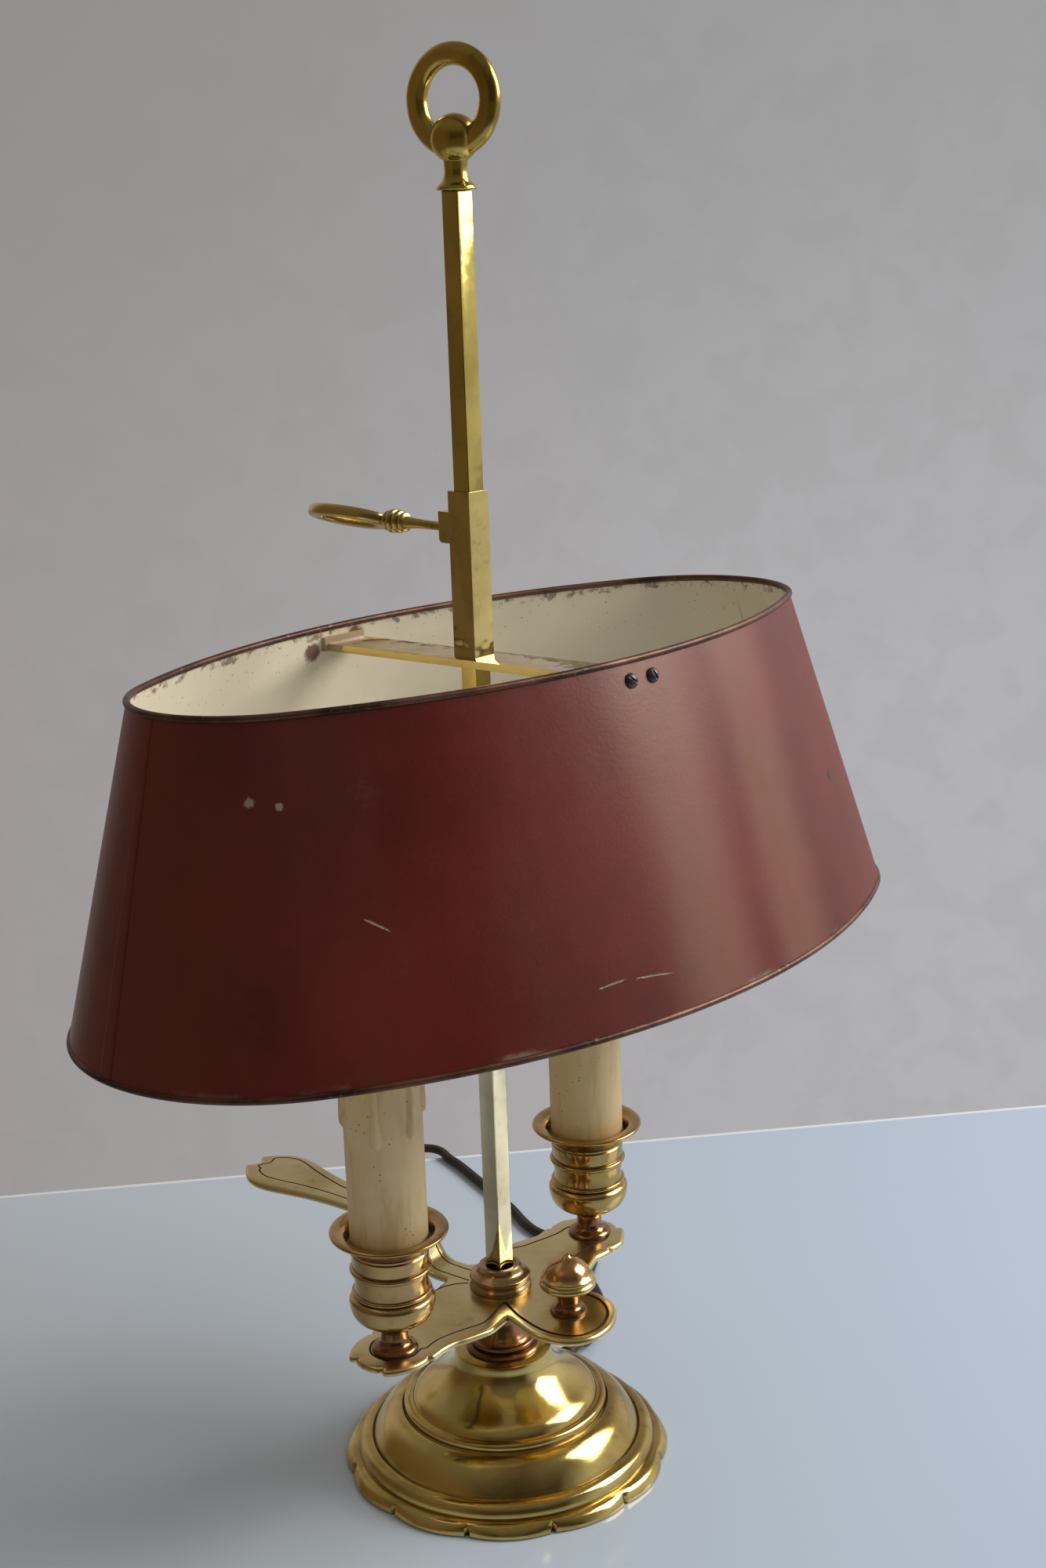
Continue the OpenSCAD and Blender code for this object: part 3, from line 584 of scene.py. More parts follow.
def metal(name, bright, dull, stain, rough=0.2, reach=0.0022, wave=0.00006, wave_scale=70,
          lathe=None, spots=0.35, broad=22, levels=(), dull_at=()):
    """Aged metal: a bright tone that dulls in patches, darkened in its recesses by dirt and
    painted shade, finely scratched.

    levels holds tones that come in between two heights, and dull_at places that have lost
    their shine. lathe is the axis of the turning marks.
    """
    finish = Finish(name)
    spot = finish.point()
    patch = finish.noise(spot, broad, 4, 0.55)
    fleck = finish.noise(spot, 330, 3, 0.6)
    aged = patch.rise(0.38, 0.68)
    colour = finish.mix(bright, dull, aged)
    for tone, start, end in levels:
        tone = finish.mix(tone, tint(tone, 0.72), aged)
        colour = finish.mix(colour, tone, finish.height(spot).rise(start * MM, end * MM))
    colour = finish.mix(colour, stain, (fleck * 0.7 + patch * 0.5).rise(0.64, 0.86) * spots)
    # Dirt and painted shade: ambient occlusion darkens the colour in recesses and between parts.
    recess = finish.hollow(reach)
    dirt_and_shade = (recess.rise(0.3, 0.8) * 0.75 + recess * 0.25).clipped()
    colour = finish.mix(colour, tint(stain, 0.16), dirt_and_shade)
    metallic = 1.0
    for place, size, tone in dull_at:
        away = finish.vector("DISTANCE", spot, mm(*place)) + (fleck - 0.5) * 0.008
        worn = away.rise(size * MM, 0.8 * size * MM)
        colour, metallic = finish.mix(colour, tone, worn), 1 - worn * 0.9
    scratches = finish.noise(finish.point((1, 1, 0.3)), 1500, 2, 0.6)
    relief = finish.noise(spot, wave_scale) * wave * 10 + scratches * 0.000006
    if lathe:
        relief = relief + finish.lathe_marks(*lathe) * 0.00002
    return finish.surface({
        "Base Color": colour, "Metallic": metallic,
        "Roughness": rough - 0.05 + patch * 0.06 + fleck * 0.06 + dirt_and_shade * 0.3}, relief, 0.9)


# Marks on the shade: places, or the two ends of a line, with a size
DARK_BLOT = (112.3, -83.2, 280.9)
PAINT_CHIPS = [
    ((-141.9, -34.0, 319.2), (-140.9, -34.8, 318.8), 2.2),
    ((-135.2, -41.3, 317.5), (-134.6, -41.9, 317.1), 1.7),
    ((-121.7, -64.2, 280.3), (-114.2, -70.7, 274.7), 0.5),
    ((-54.0, -105.3, 244.5), (-39.4, -108.6, 245.7), 0.45),
    ((-38.0, -109.0, 245.0), (-20.0, -112.4, 243.0), 0.4)]
LINING_SEAM = ((151.0, -5.4, 346.3), (185.6, -18.0, 227.6), 1.243)
RUST_SPOTS = [((-15.2, 77.4, 334.3), 4.6), ((7.1, 75.9, 338.5), 4.2)]


def shade_paint(colours):
    """Oxblood enamel on sheet metal, rubbed and chipped along its edges, with a painted reflection
    in two golden bands.
    """
    finish = Finish("shade_paint")
    spot = finish.point()
    patch = finish.noise(spot, 9, 4, 0.6)
    grain = finish.noise(spot, 700, 3, 0.6)
    cloud = finish.noise(spot, 60, 3, 0.55)
    colour = finish.mix(tuple(colours.paint), tint(colours.paint, 0.62), patch.rise(0.35, 0.7))
    mottled = (cloud * 0.6 + grain * 0.4).rise(0.56, 0.8)
    colour = finish.mix(colour, (0.15, 0.045, 0.022), mottled * 0.3)
    # Painted reflection: two golden bands, placed along the shade's long axis where the window
    # mirrors in its front, are mixed into the paint's colour.
    across = finish.on_shade(spot, (1, 0, 0))
    painted_sheen = (across.rise(-0.024, 0.002) * across.rise(0.034, 0.014)
             + across.rise(0.036, 0.052) * across.rise(0.088, 0.062))
    colour = finish.mix(colour, (0.42, 0.24, 0.13), painted_sheen * (0.1 + patch * 0.2))
    blot = finish.vector("DISTANCE", spot, mm(*DARK_BLOT)) + (grain - 0.5) * 0.002
    colour = finish.mix(colour, (0.015, 0.005, 0.004), blot.rise(0.0022, 0.0012))
    ragged = finish.on_shade(spot, (0, 0, -1)) + finish.noise(spot, 160, 3, 0.6) * 0.006
    edge = ragged.rise(SHADE_H * MM + 0.0002, SHADE_H * MM + 0.0028)
    chips = edge * finish.noise(spot, 30).rise(0.54, 0.66) * 0.7
    for start, end, size in PAINT_CHIPS:
        away = finish.from_line(spot, start, end, size) + (grain - 0.5) * size * 0.0012
        chips = chips.most(away.rise(size * MM, 0.5 * size * MM))
    streak = finish.noise(finish.point((1, 1, 0.06)), 16, 3, 0.55).rise(0.35, 0.65)
    return finish.surface({
        "Base Color": finish.mix(colour, (0.34, 0.27, 0.20), chips * 0.75),
        "Roughness": 0.20 + streak * 0.12 + grain * 0.1 + cloud * 0.06 + chips * 0.2,
        "Specular IOR Level": 0.60, "Specular Tint": (1.0, 0.87, 0.78, 1)},
        grain * 0.00005 + cloud * 0.0001 - chips * 0.0002)


def cream_lining(colours):
    """Cream enamel inside the shade, with rust at its edges and where the bar is fixed."""
    finish = Finish("cream_lining")
    spot = finish.point()
    patch = finish.noise(spot, 14, 4, 0.6)
    grain = finish.noise(spot, 520, 3, 0.6)
    ragged = finish.noise(spot, 210, 4, 0.7)
    depth = finish.on_shade(spot, (0, 0, -1))
    rust = (ragged * 0.0075 - depth).rise(0.0, 0.002) * ragged.rise(0.48, 0.62) * 0.8
    rust = rust.most((depth + ragged * 0.01).rise(0.117, 0.1225) * 0.8)
    for place, size in RUST_SPOTS:
        away = finish.vector("DISTANCE", spot, mm(*place)) + (ragged - 0.5) * size * 0.0016
        rust = rust.most(away.rise(1.1 * size * MM, 0.5 * size * MM))
    rust = rust.most(finish.from_line(spot, *LINING_SEAM).rise(0.0014, 0.0008) * 0.8)
    flecks = finish.specks(spot, 300).rise(0.13, 0.07) * (0.030 - depth).rise(-0.004, 0.024)
    rust = (rust + flecks * 0.6).clipped()
    colour = finish.mix(tuple(colours.lining), tint(colours.lining, 0.90), patch.rise(0.4, 0.7))
    return finish.surface({
        "Base Color": finish.mix(colour, (0.13, 0.045, 0.02), rust * 0.92),
        "Roughness": 0.5 + grain * 0.14 + rust * 0.3},
        grain * 0.00005 + rust * ragged * 0.0004, 0.7)


def rim_metal():
    """Dark wire of reddish brown, rubbed bright in scattered patches."""
    finish = Finish("rim_copper")
    spot = finish.point()
    patch = finish.noise(spot, 34, 4, 0.6)
    grain = finish.noise(spot, 420, 3, 0.6)
    colour = finish.mix((0.17, 0.08, 0.05), (0.05, 0.023, 0.016), patch.rise(0.36, 0.66))
    rubbed = (grain * 0.6 + patch * 0.4).rise(0.57, 0.72)
    return finish.surface({
        "Base Color": finish.mix(colour, (0.50, 0.32, 0.20), rubbed * 0.45),
        "Metallic": 0.75, "Roughness": 0.34 + grain * 0.16}, grain * 0.00012)


def ivory_sleeve(colours):
    """Card sleeve under ivory wax, specked and yellowed in soft upright streaks."""
    finish = Finish("ivory_wax")
    spot = finish.point()
    streak = finish.noise(finish.point((1, 1, 0.16)), 170, 3, 0.6)
    patch = finish.noise(spot, 42, 3, 0.55)
    colour = finish.mix(tuple(colours.candle), (0.42, 0.25, 0.09), streak.rise(0.45, 0.75) * 0.45)
    colour = finish.mix(colour, (0.78, 0.64, 0.40), patch.rise(0.5, 0.72) * 0.5)
    specks = finish.specks(spot, 330).rise(0.17, 0.08) * finish.noise(spot, 60, 1).rise(0.5, 0.6)
    return finish.surface({
        "Base Color": finish.mix(colour, (0.16, 0.08, 0.03), specks * 0.75),
        "Roughness": 0.42 + patch * 0.12},
        patch * 0.0002 + finish.noise(spot, 420) * 0.00004)


def plain_finish(name, tone, other, rough, scale, relief, metallic=0.0):
    """Rubber, bakelite, iron and the like: two close tones and a fine grain."""
    finish = Finish(name)
    spot = finish.point()
    grain = finish.noise(spot, scale, 3, 0.6)
    patch = finish.noise(spot, scale / 9, 3, 0.5)
    colour = finish.mix(tone, other, (grain * 0.5 + patch * 0.5).rise(0.4, 0.65) * 0.5)
    return finish.surface({"Base Color": colour, "Metallic": metallic,
                           "Roughness": rough + grain * 0.12}, grain * relief, 0.9)


def felt_finish():
    finish = Finish("green_felt")
    fibre = finish.noise(finish.point((1, 0.25, 1)), 1700, 4, 0.7)
    worn = (fibre + finish.noise(finish.point(), 60, 3) * 0.4).rise(0.5, 0.9)
    return finish.surface({
        "Base Color": finish.mix((0.018, 0.045, 0.020), (0.045, 0.085, 0.040), worn),
        "Roughness": 0.9, "Sheen Weight": 0.3}, fibre * 0.0003, 1.0)


def glass_finish():
    """Clear lamp glass with a faint smoky film."""
    finish = Finish("lamp_glass")
    film = finish.noise(finish.point(), 60, 3, 0.6)
    colour = finish.mix((1.0, 0.985, 0.95), (0.93, 0.89, 0.80), film.rise(0.4, 0.7))
    return finish.surface({"Base Color": colour, "Roughness": 0.01 + film * 0.03,
                           "Transmission Weight": 1.0, "IOR": 1.46})


# What the pieces call it, its own name, two tones, roughness, scale and height of the grain, shine
PLAIN_FINISHES = [
    ("groove", "engraved_line", (0.03, 0.018, 0.009), (0.075, 0.045, 0.02), 0.5, 900, 4e-5, 0.6),
    ("steel", "blackened_steel", (0.1, 0.098, 0.094), (0.035, 0.03, 0.026), 0.32, 500, 1e-4, 0.85),
    ("zinc", "fixing_steel", (0.42, 0.41, 0.39), (0.25, 0.22, 0.19), 0.35, 420, 6e-5, 0.9),
    ("iron", "cast_iron", (0.1, 0.1, 0.1), (0.16, 0.085, 0.05), 0.6, 320, 4e-4, 0.4),
    ("rubber", "cord_rubber", (0.02, 0.013, 0.008), (0.045, 0.034, 0.022), 0.5, 700, 4e-5),
    ("black", "black_rubber", (0.014, 0.013, 0.012), (0.03, 0.027, 0.024), 0.5, 600, 5e-5),
    ("bakelite", "bakelite", (0.03, 0.017, 0.011), (0.055, 0.028, 0.016), 0.25, 180, 3e-5),
    ("rocker", "rocker_ivory", (0.52, 0.45, 0.32), (0.42, 0.35, 0.23), 0.35, 240, 3e-5),
    ("nickel", "nickel", (0.62, 0.60, 0.54), (0.45, 0.42, 0.36), 0.22, 480, 3e-5, 1.0),
    ("cap", "cap_metal", (0.62, 0.58, 0.5), (0.45, 0.38, 0.27), 0.28, 500, 4e-5, 1.0),
    ("lead", "lead_cover", (0.045, 0.032, 0.02), (0.09, 0.07, 0.045), 0.6, 900, 1e-4),
    ("filament", "filament", (0.2, 0.19, 0.18), (0.12, 0.11, 0.1), 0.4, 900, 2e-5, 1.0)]


def make_finishes(colours):
    """Every finish under the word that the pieces call it by."""
    brass, copper, bronze = tuple(colours.brass), tuple(colours.copper), tuple(colours.bronze)
    stain, dark_bronze = (0.20, 0.10, 0.035), (0.20, 0.10, 0.05)
    FINISHES.update({key: plain_finish(*values) for key, *values in PLAIN_FINISHES})
    FINISHES.update({
        "foot": metal("foot_brass", brass, (0.42, 0.28, 0.075), (0.20, 0.085, 0.02), 0.12,
                      lathe=(0, 0), wave_scale=45),
        "plate": metal("plate_brass", (0.80, 0.66, 0.33), (0.62, 0.47, 0.19), stain, 0.24,
                       wave=0.00003, spots=0.3, reach=0.003),
        "collar": metal("collar_bronze", copper, (0.18, 0.085, 0.04), (0.10, 0.05, 0.02), 0.22,
                        lathe=(0, 0), levels=[((0.50, 0.34, 0.17), 74, 75)]),
        # Painted reflection: below 190 mm the rod's colour is paler, standing in for the bright
        # table that it mirrors; from 190 to 300 mm it turns to a deeper yellow.
        "rod": metal("rod_brass", (0.76, 0.67, 0.44), (0.58, 0.48, 0.30), (0.30, 0.20, 0.14), 0.09,
                     wave=0.00002, broad=30, spots=0.3, levels=[((0.66, 0.51, 0.14), 190, 300)]),
        "finial": metal("finial_brass", (0.60, 0.43, 0.10), (0.40, 0.27, 0.06), stain, 0.17),
        "acorn": metal("acorn_brass", (0.30, 0.16, 0.08), dark_bronze, stain, 0.17,
                       lathe=ACORN, levels=[((0.74, 0.54, 0.22), 82.4, 84),
                                            ((0.66, 0.39, 0.18), 91.0, 92.0)]),
        "cup_left": metal("cup_bronze_left", (0.33, 0.17, 0.085), dark_bronze, stain, 0.15,
                          lathe=LEFT, levels=[(bronze, 82, 88)]),
        "cup_right": metal("cup_bronze_right", (0.33, 0.17, 0.08), dark_bronze, stain, 0.15,
                           lathe=RIGHT, levels=[((0.62, 0.41, 0.14), 82, 88)]),
        "carrier": metal("carrier_brass", (0.74, 0.58, 0.22), (0.58, 0.44, 0.15), stain, 0.09,
                         wave=0.00012, wave_scale=55,
                         dull_at=[((-4, 80, 337), 17.5, (0.40, 0.28, 0.17))]),
        "key": metal("key_brass", (0.66, 0.50, 0.18), (0.48, 0.35, 0.11), stain, 0.2,
                     wave=0.00008),
        "paint": shade_paint(colours), "cream": cream_lining(colours), "rim": rim_metal(),
        "ivory": ivory_sleeve(colours), "felt": felt_finish(), "glass": glass_finish()})


# ---- the add-on's properties ----

def a_length(name, description, default, low, high):
    return bpy.props.FloatProperty(name=name, description=description, default=default, min=low,
                                   max=high, unit="LENGTH", subtype="DISTANCE")


def a_colour(name, description, default):
    return bpy.props.FloatVectorProperty(name=name, description=description, default=default,
                                         min=0, max=1, subtype="COLOR")


class LampSizes(bpy.types.PropertyGroup):
    """Sizes that the pieces are drawn with"""
    edge_round: a_length("Plate edge", "Rounding of the arm plate's upper edge",
                         0.0016, 0.0002, 0.002)
    line_width: a_length("Engraved line", "Width of the lines engraved in the arm plate",
                         0.0009, 0.0003, 0.002)
    sheet: a_length("Shade sheet", "Thickness of the shade's sheet metal",
                    0.0007, 0.0004, 0.0015)
    rim: a_length("Rim wire", "Radius of the wire along each edge of the shade",
                  0.0013, 0.0008, 0.002)
    drip: a_length("Wax drip", "How far a wax drip stands out from the candle",
                   0.0019, 0.0, 0.003)
    cord: a_length("Cord", "Radius of the mains cord", 0.0023, 0.0015, 0.004)
    floor: a_length("Floor", "Half of the floor's width", 9.0, 2, 40)
    window: bpy.props.FloatProperty(
        name="Window light", description="Power of the soft light at the right",
        default=28.0, min=0, max=200, unit="POWER", subtype="POWER")
    room: bpy.props.FloatProperty(
        name="Room light", description="Strength of the light from all round",
        default=0.68, min=0, max=2)


class LampColours(bpy.types.PropertyGroup):
    """Colours of the main finishes"""
    brass: a_colour("Brass", "Polished brass of the foot", (0.72, 0.54, 0.19))
    copper: a_colour("Copper", "Reddish tone of the two collars", (0.37, 0.19, 0.095))
    bronze: a_colour("Bronze", "Pinkish tone of the left cup", (0.62, 0.40, 0.17))
    paint: a_colour("Shade", "Enamel outside the shade", (0.145, 0.0125, 0.0080))
    lining: a_colour("Lining", "Enamel inside the shade", (0.81, 0.715, 0.525))
    candle: a_colour("Candle", "Wax of the candle sleeves", (0.71, 0.525, 0.26))
    table: a_colour("Table", "The floor under the lamp", (0.48, 0.585, 0.73))
    wall: a_colour("Wall", "The background", (0.42, 0.385, 0.385))


class LampOperator:
    """What every step of the lamp shares"""
    bl_options = {"REGISTER", "UNDO"}

    def execute(self, context):
        self.build(context.scene.lamp_sizes, context.scene.lamp_colours)
        clear()
        return {"FINISHED"}


class LAMP_OT_finishes(LampOperator, bpy.types.Operator):
    """Makes the finishes, and gives them to the frame solids that stay as they are"""
    bl_idname = "lamp.finishes"
    bl_label = "Finishes"

    def build(self, sizes, colours):
        make_finishes(colours)
        dressed("iron", "foot_weight")
        dressed("felt", "foot_felt")
        dressed("zinc", "base_washer", "base_nut", "acorn_nut", "cup_nut_left", "cup_nut_right",
                "pressure_pad")
        dressed("black", "cord_bushing")
        dressed("plate", "nipple_left", "nipple_right")
        dressed("bakelite", "socket_left", "socket_right")
        dressed("lead", "lead_left", "lead_right")


class LAMP_OT_camera(LampOperator, bpy.types.Operator):
    """Sets the camera"""
    bl_idname = "lamp.camera"
    bl_label = "Camera"

    def build(self, sizes, colours):
        clear()
        bpy.ops.object.camera_add(location=mm(*CAMERA_AT))
        camera = bpy.context.active_object
        turned_to = Matrix((CAMERA_RIGHT, CAMERA_UP, -CAMERA_AHEAD)).transposed().to_4x4()
        camera.matrix_world = shift(*CAMERA_AT) @ turned_to
        camera.data.sensor_fit = "VERTICAL"
        camera.data.sensor_height, camera.data.sensor_width, camera.data.lens = 36, 24, 50
        camera.data.clip_end = 100
        bpy.context.scene.camera = camera


# ---- cord ----

CORD_ROUTE = [
    (47.6, 15.5, 9.4), (55, 17.9, 9.4), (61.5, 20, 9.4), (68, 22.1, 9.2), (74, 24.4, 7.4),
    (80, 26.8, 4.4), (87, 30, 2.5), (96, 34, 2.4), (106, 40, 2.4), (114, 48, 2.4),
    (121, 57, 2.4), (127, 66, 2.4), (135, 73, 2.4), (144, 79, 2.4), (150, 88, 2.4),
    (151, 100, 2.4), (148, 111, 2.4), (148, 122, 2.4), (152, 134, 2.4), (158, 147, 2.4),
    (163, 161, 2.4), (168, 175, 2.4), (173, 190, 2.4), (178, 205, 2.4), (181, 217, 2.4),
    (184, 225.2, 2.4), (183.8, 232, 2.4), (180, 237.2, 2.4), (173.6, 240.2, 2.4),
    (166.4, 243, 2.4), (160.4, 247.8, 2.4), (157.4, 255, 2.4), (158.2, 263.4, 2.4),
    (162, 269.2, 2.5), (167.9, 273.6, 3.4), (174.4, 278.2, 5), (180.9, 282.8, 6.5),
    (187.3, 287.5, 7), (210, 304, 7), (232.7, 320.5, 7), (238, 325.4, 6.4),
    (241.6, 331.6, 4.8), (242.6, 339, 3.2), (241, 347.6, 2.4), (237.6, 357.4, 2.4),
    (233, 368, 2.4), (228.8, 379, 2.4), (227.2, 390, 2.4)]
TAIL_ROUTE = [
    (296.7, 390, 2.4), (296.7, 384, 2.5), (296, 378, 3.1), (294.7, 372.4, 4.5),
    (292.9, 367.2, 6.1), (290.9, 362.9, 7), (288.4, 357.7, 7)]
COIL_XY, COIL_START, COIL_STEP, COIL_MOVE = (262, 390), 180.0, 7.5, 80
# Each turn's radius and height, once it has moved to them over COIL_MOVE degrees
COIL_TURNS = [(29.6, 2.4), (25.0, 2.4), (20.4, 2.4), (22.7, 6.4), (27.3, 6.4), (25.0, 10.4),
              (29.6, 10.4)]


def coil_route():
    """The coil's turns, clockwise from where the cord meets it to where the tail leaves it."""
    def at(step, radius, height):
        x, y = turn((radius, 0), COIL_START - COIL_STEP * step)
        return COIL_XY[0] + x, COIL_XY[1] + y, height

    points, before = [], (34.8, 2.4)
    for radius, height in COIL_TURNS:
        for k in range(48):
            t = min(k * COIL_STEP / COIL_MOVE, 1)
            points.append(at(k, before[0] + (radius - before[0]) * eased(t),
                             before[1] + (height - before[1]) * eased(min(2.2 * t, 1))))
        before = (radius, height)
    for k in range(24):
        leave = eased(min(max(k * COIL_STEP / COIL_MOVE - 1, 0), 1))
        points.append(at(k, 29.6 + 5.1 * min(1.5 * leave, 1), 10.4 - 8 * leave))
    return points


def flex_outline():
    """Section of a two-core flex: round, with a shallow valley above and below."""
    shape = []
    for a in round_steps(20):
        r = 1 - 0.16 * math.exp(-(math.cos(a) / 0.22) ** 2)
        shape.append((r * math.cos(a), r * math.sin(a)))
    return shape


class LAMP_OT_cord(LampOperator, bpy.types.Operator):
    """Lays the mains cord: out of the foot, along the table, through the switch and the coil"""
    bl_idname = "lamp.cord"
    bl_label = "Cord, switch and plug"

    def build(self, sizes, colours):
        path = smooth_run(CORD_ROUTE, 4) + coil_route()[1:] + smooth_run(TAIL_ROUTE, 4)
        path = spaced(path, 0.8)
        cord = tube("mains_cord", path, sizes.cord / MM, outline=flex_outline())
        put_on(cord, "base", "cord_rubber", "rubber", "cord", "cord_tail", "cord_coil")

        switch = copied("switch_shell", "switch_body", 1.0)
        put_on(switch, "base", "switch_brown", "bakelite", "switch_body")
        rocker = copied("switch_rocker_cap", "switch_rocker", 0.5)
        put_on(rocker, "rocker", "rocker_ivory", "rocker", "switch_rocker")
        plug = copied("plug_shell", "plug_body", 1.0)
        put_on(plug, "base", "plug_black", "black", "plug_body")
        relief = self.relief()
        put_on(relief, "base", "plug_black", "black")
        dressed("nickel", "plug_pins")
        [mm(*p) for p in path]

    def relief(self):
        """A tapered, ribbed sleeve on the cord behind the plug."""
        route = smooth_run(list(reversed(TAIL_ROUTE[2:])), 10)[6:40]
        ribs = lambda t: 4.1 - 1.3 * t - (0.45 if 0.12 < t < 0.9 and int(t * 17) % 2 else 0)
        return tube("plug_relief", route, ribs, 16)


# ---- foot and stem ----

class LAMP_OT_foot(LampOperator, bpy.types.Operator):
    """Turns the stepped foot and joins its scalloped flange"""
    bl_idname = "lamp.foot"
    bl_label = "Foot"

    def build(self, sizes, colours):
        outside = ([(57.8, 1.2), (58, FLANGE_H - 1.4), (61.4, FLANGE_H - 1.4), (61.55, 4.6)]
                   + bend((61.6, 5.6), (61.2, 11.4), (56, 11.1))
                   + [(55.5, 10.6), (55.1, 11.2)] + bend((55, 11.8), (49.6, 22.6), (43, 23.1), 16)
                   + [(42.5, 22.6), (42.1, 23.2)] + bend((42.1, 24), (42.2, 26.1), (40.4, 26.4), 6)
                   + [(39.6, 25.9), (39.1, 26)] + bend((38.4, 26.3), (37.4, 29), (34, 31), 8)
                   + bend((34, 31), (20.8, 38.4), (20.2, 45.4), 18)
                   + [(20.1, FOOT_H - 1), (19.8, FOOT_H - 0.3), (19.2, FOOT_H), (6, FOOT_H)])
        inside = [(6, 42), (14, 42), (20, 36), (28, 30), (35, 24), (40, 19.5), (47, 15), (52, 9),
                  (56.5, 2.5), (56.5, 1.2)]
        foot = turned("foot_turned", outside + inside + outside[:1], steps=144)
        outline = []
        for i in range(SCALLOPS):
            middle = (i + 0.5) * 360 / SCALLOPS
            outline += [turn(p, middle) for p in arc(28, 0, FOOT_R - 28, -23.8, 23.8, 14)]
            outline.append(turn((FOOT_R - 3.2, 0), (i + 1) * 360 / SCALLOPS))

        def level(z, scale, even):
            """The outline at a height, scaled, its notches drawn out towards an even circle."""
            radii = [math.hypot(*p) for p in outline]
            scales = [scale * (1 + even * (FOOT_R - 0.9 - r) / r) for r in radii]
            return [(x * s, y * s, z) for (x, y), s in zip(outline, scales)]

        flange = lofted("flange", [level(*values) for values in (
            (0, 0.991, 0), (0.5, 1.0, 0), (1.8, 1.0, 0), (3.0, 0.993, 0.25), (4.0, 0.984, 0.55),
            (4.8, 0.973, 0.8), (FLANGE_H, 0.962, 0.9))])
        bored(flange, 57.2, 30, sides=144)
        joined(foot, flange, "UNION")
        hole = tube("cord_hole", [(44, 14.3, 9.4), (72, 23.4, 9.4)], 3.9, 32)
        joined(foot, hole, "DIFFERENCE")
        put_on(foot, "base", "foot_brass", "foot", "foot", crease=28)


class LAMP_OT_stem(LampOperator, bpy.types.Operator):
    """Turns the two collars, draws the square rod, and makes the finial and its ring"""
    bl_idname = "lamp.stem"
    bl_label = "Stem and finial"

    def build(self, sizes, colours):
        under = PLATE_Z - PLATE_T
        lower = ([(5.7, FOOT_H), (15.2, FOOT_H), (15.3, FOOT_H + 1), (14.9, FOOT_H + 1.5),
                  (14.2, 49.8), (12.7, 50.1)]
                 + arc(12.3, 51.4, 1.0, -60, 90, 8) + [(11.4, 52.3)]
                 + bend((10.4, 53), (9.9, 54), (9.4, 54.6), 4)
                 + bend((9.0, 55.4), (5.6, 61.5), (8, 66), 12)
                 + bend((8.4, 66.8), (9.4, 69.8), (11.5, 71), 8) + [(11.5, under), (5.7, under)])
        collar = turned("lower_collar_turned", lower + lower[:1])
        put_on(collar, "base", "collar_bronze", "collar", "lower_collar")
        upper = ([(6.6, PLATE_Z), (12.5, PLATE_Z), (12.6, 76.1), (12.3, 76.9)]
                 + bend((11.7, 77.5), (11.2, 78.4), (11.7, 78.8), 6)
                 + arc(11.5, 80, 1.0, -55, 65, 8)
                 + bend((11.6, 81.1), (9, 82), (8.8, 83.6), 8)
                 + [(8.6, 84.6), (8.1, 85), (6.7, 85), (6.5, 84.5), (5.7, 84.4), (5.7, PLATE_Z)])
        collar = turned("stem_collar_turned", upper + upper[:1])
        put_on(collar, "base", "collar_bronze", "collar", "stem_collar")

        half = ROD_W / 2
        rod = box_piece("rod_drawn", (-half, -half, PLATE_Z), (half, half, ROD_TOP), 0.42)
        stud = turned("stud", [(0, 2), (2.6, 2), (3, 2.5), (3, PLATE_Z + 1), (0, PLATE_Z + 1)],
                      steps=40)
        joined(rod, stud, "UNION")
        put_on(rod, "base", "rod_brass", "rod", "stem_rod", crease=40)

        base = ([(0, ROD_TOP + 0.02), (7.1, ROD_TOP + 0.02), (7.35, ROD_TOP + 0.5),
                 (7.2, ROD_TOP + 1.1), (6.8, ROD_TOP + 1.6)]
                + bend((5.8, ROD_TOP + 2.4), (4.1, ROD_TOP + 4.6), (4.3, ROD_TOP + 7.4), 10)
                + [(4.4, ROD_TOP + 10)] + arc(0, ROD_TOP + 17.8, 8.8, -59, 90, 18))
        finial = turned("finial_turned", base, steps=64, crease=40)
        put_on(finial, "base", "finial_brass", "finial", "finial")
        rings = []
        for a in round_steps(72):
            bar = RING_BAR + 0.35 * max(0, -math.cos(a)) ** 2
            section = [(0.86 * bar * math.cos(b), RING_R + bar * math.sin(b))
                       for b in round_steps(20)]
            rings.append([(x, r * math.sin(a), r * math.cos(a)) for x, r in section])
        put_on(lofted("finial_ring_cast", rings, loop=True), "base", "finial_brass", "finial",
               "finial_ring", at=shift(0, 0, ROD_TOP + 31) @ rotation(RING_YAW, "Z"))


# ---- arm plate ----

def arm_edge(tip, waist, neck):
    """Near edge of a candle arm from its root to the tip, with the arm along -X."""
    return (smooth_run([(-18.3, 19.4), (-25, 20.7), (-31, 21.1), (neck + 5.5, waist + 2.6),
                        (neck, waist + 0.6), (-tip + 28, waist), (-tip + 21.5, waist + 0.6),
                        (-tip + 20, waist - 1)])
            + smooth_run([(-tip + 18.6, waist + 0.2), (-tip + 12, waist), (-tip + 6, 13.6),
                          (-tip + 2, 10.6), (-tip + 1, 8.6), (-tip + 2.4, 6.8)])
            + smooth_run([(-tip + 0.9, 5.4), (-tip, 2), (-tip, 0)]))


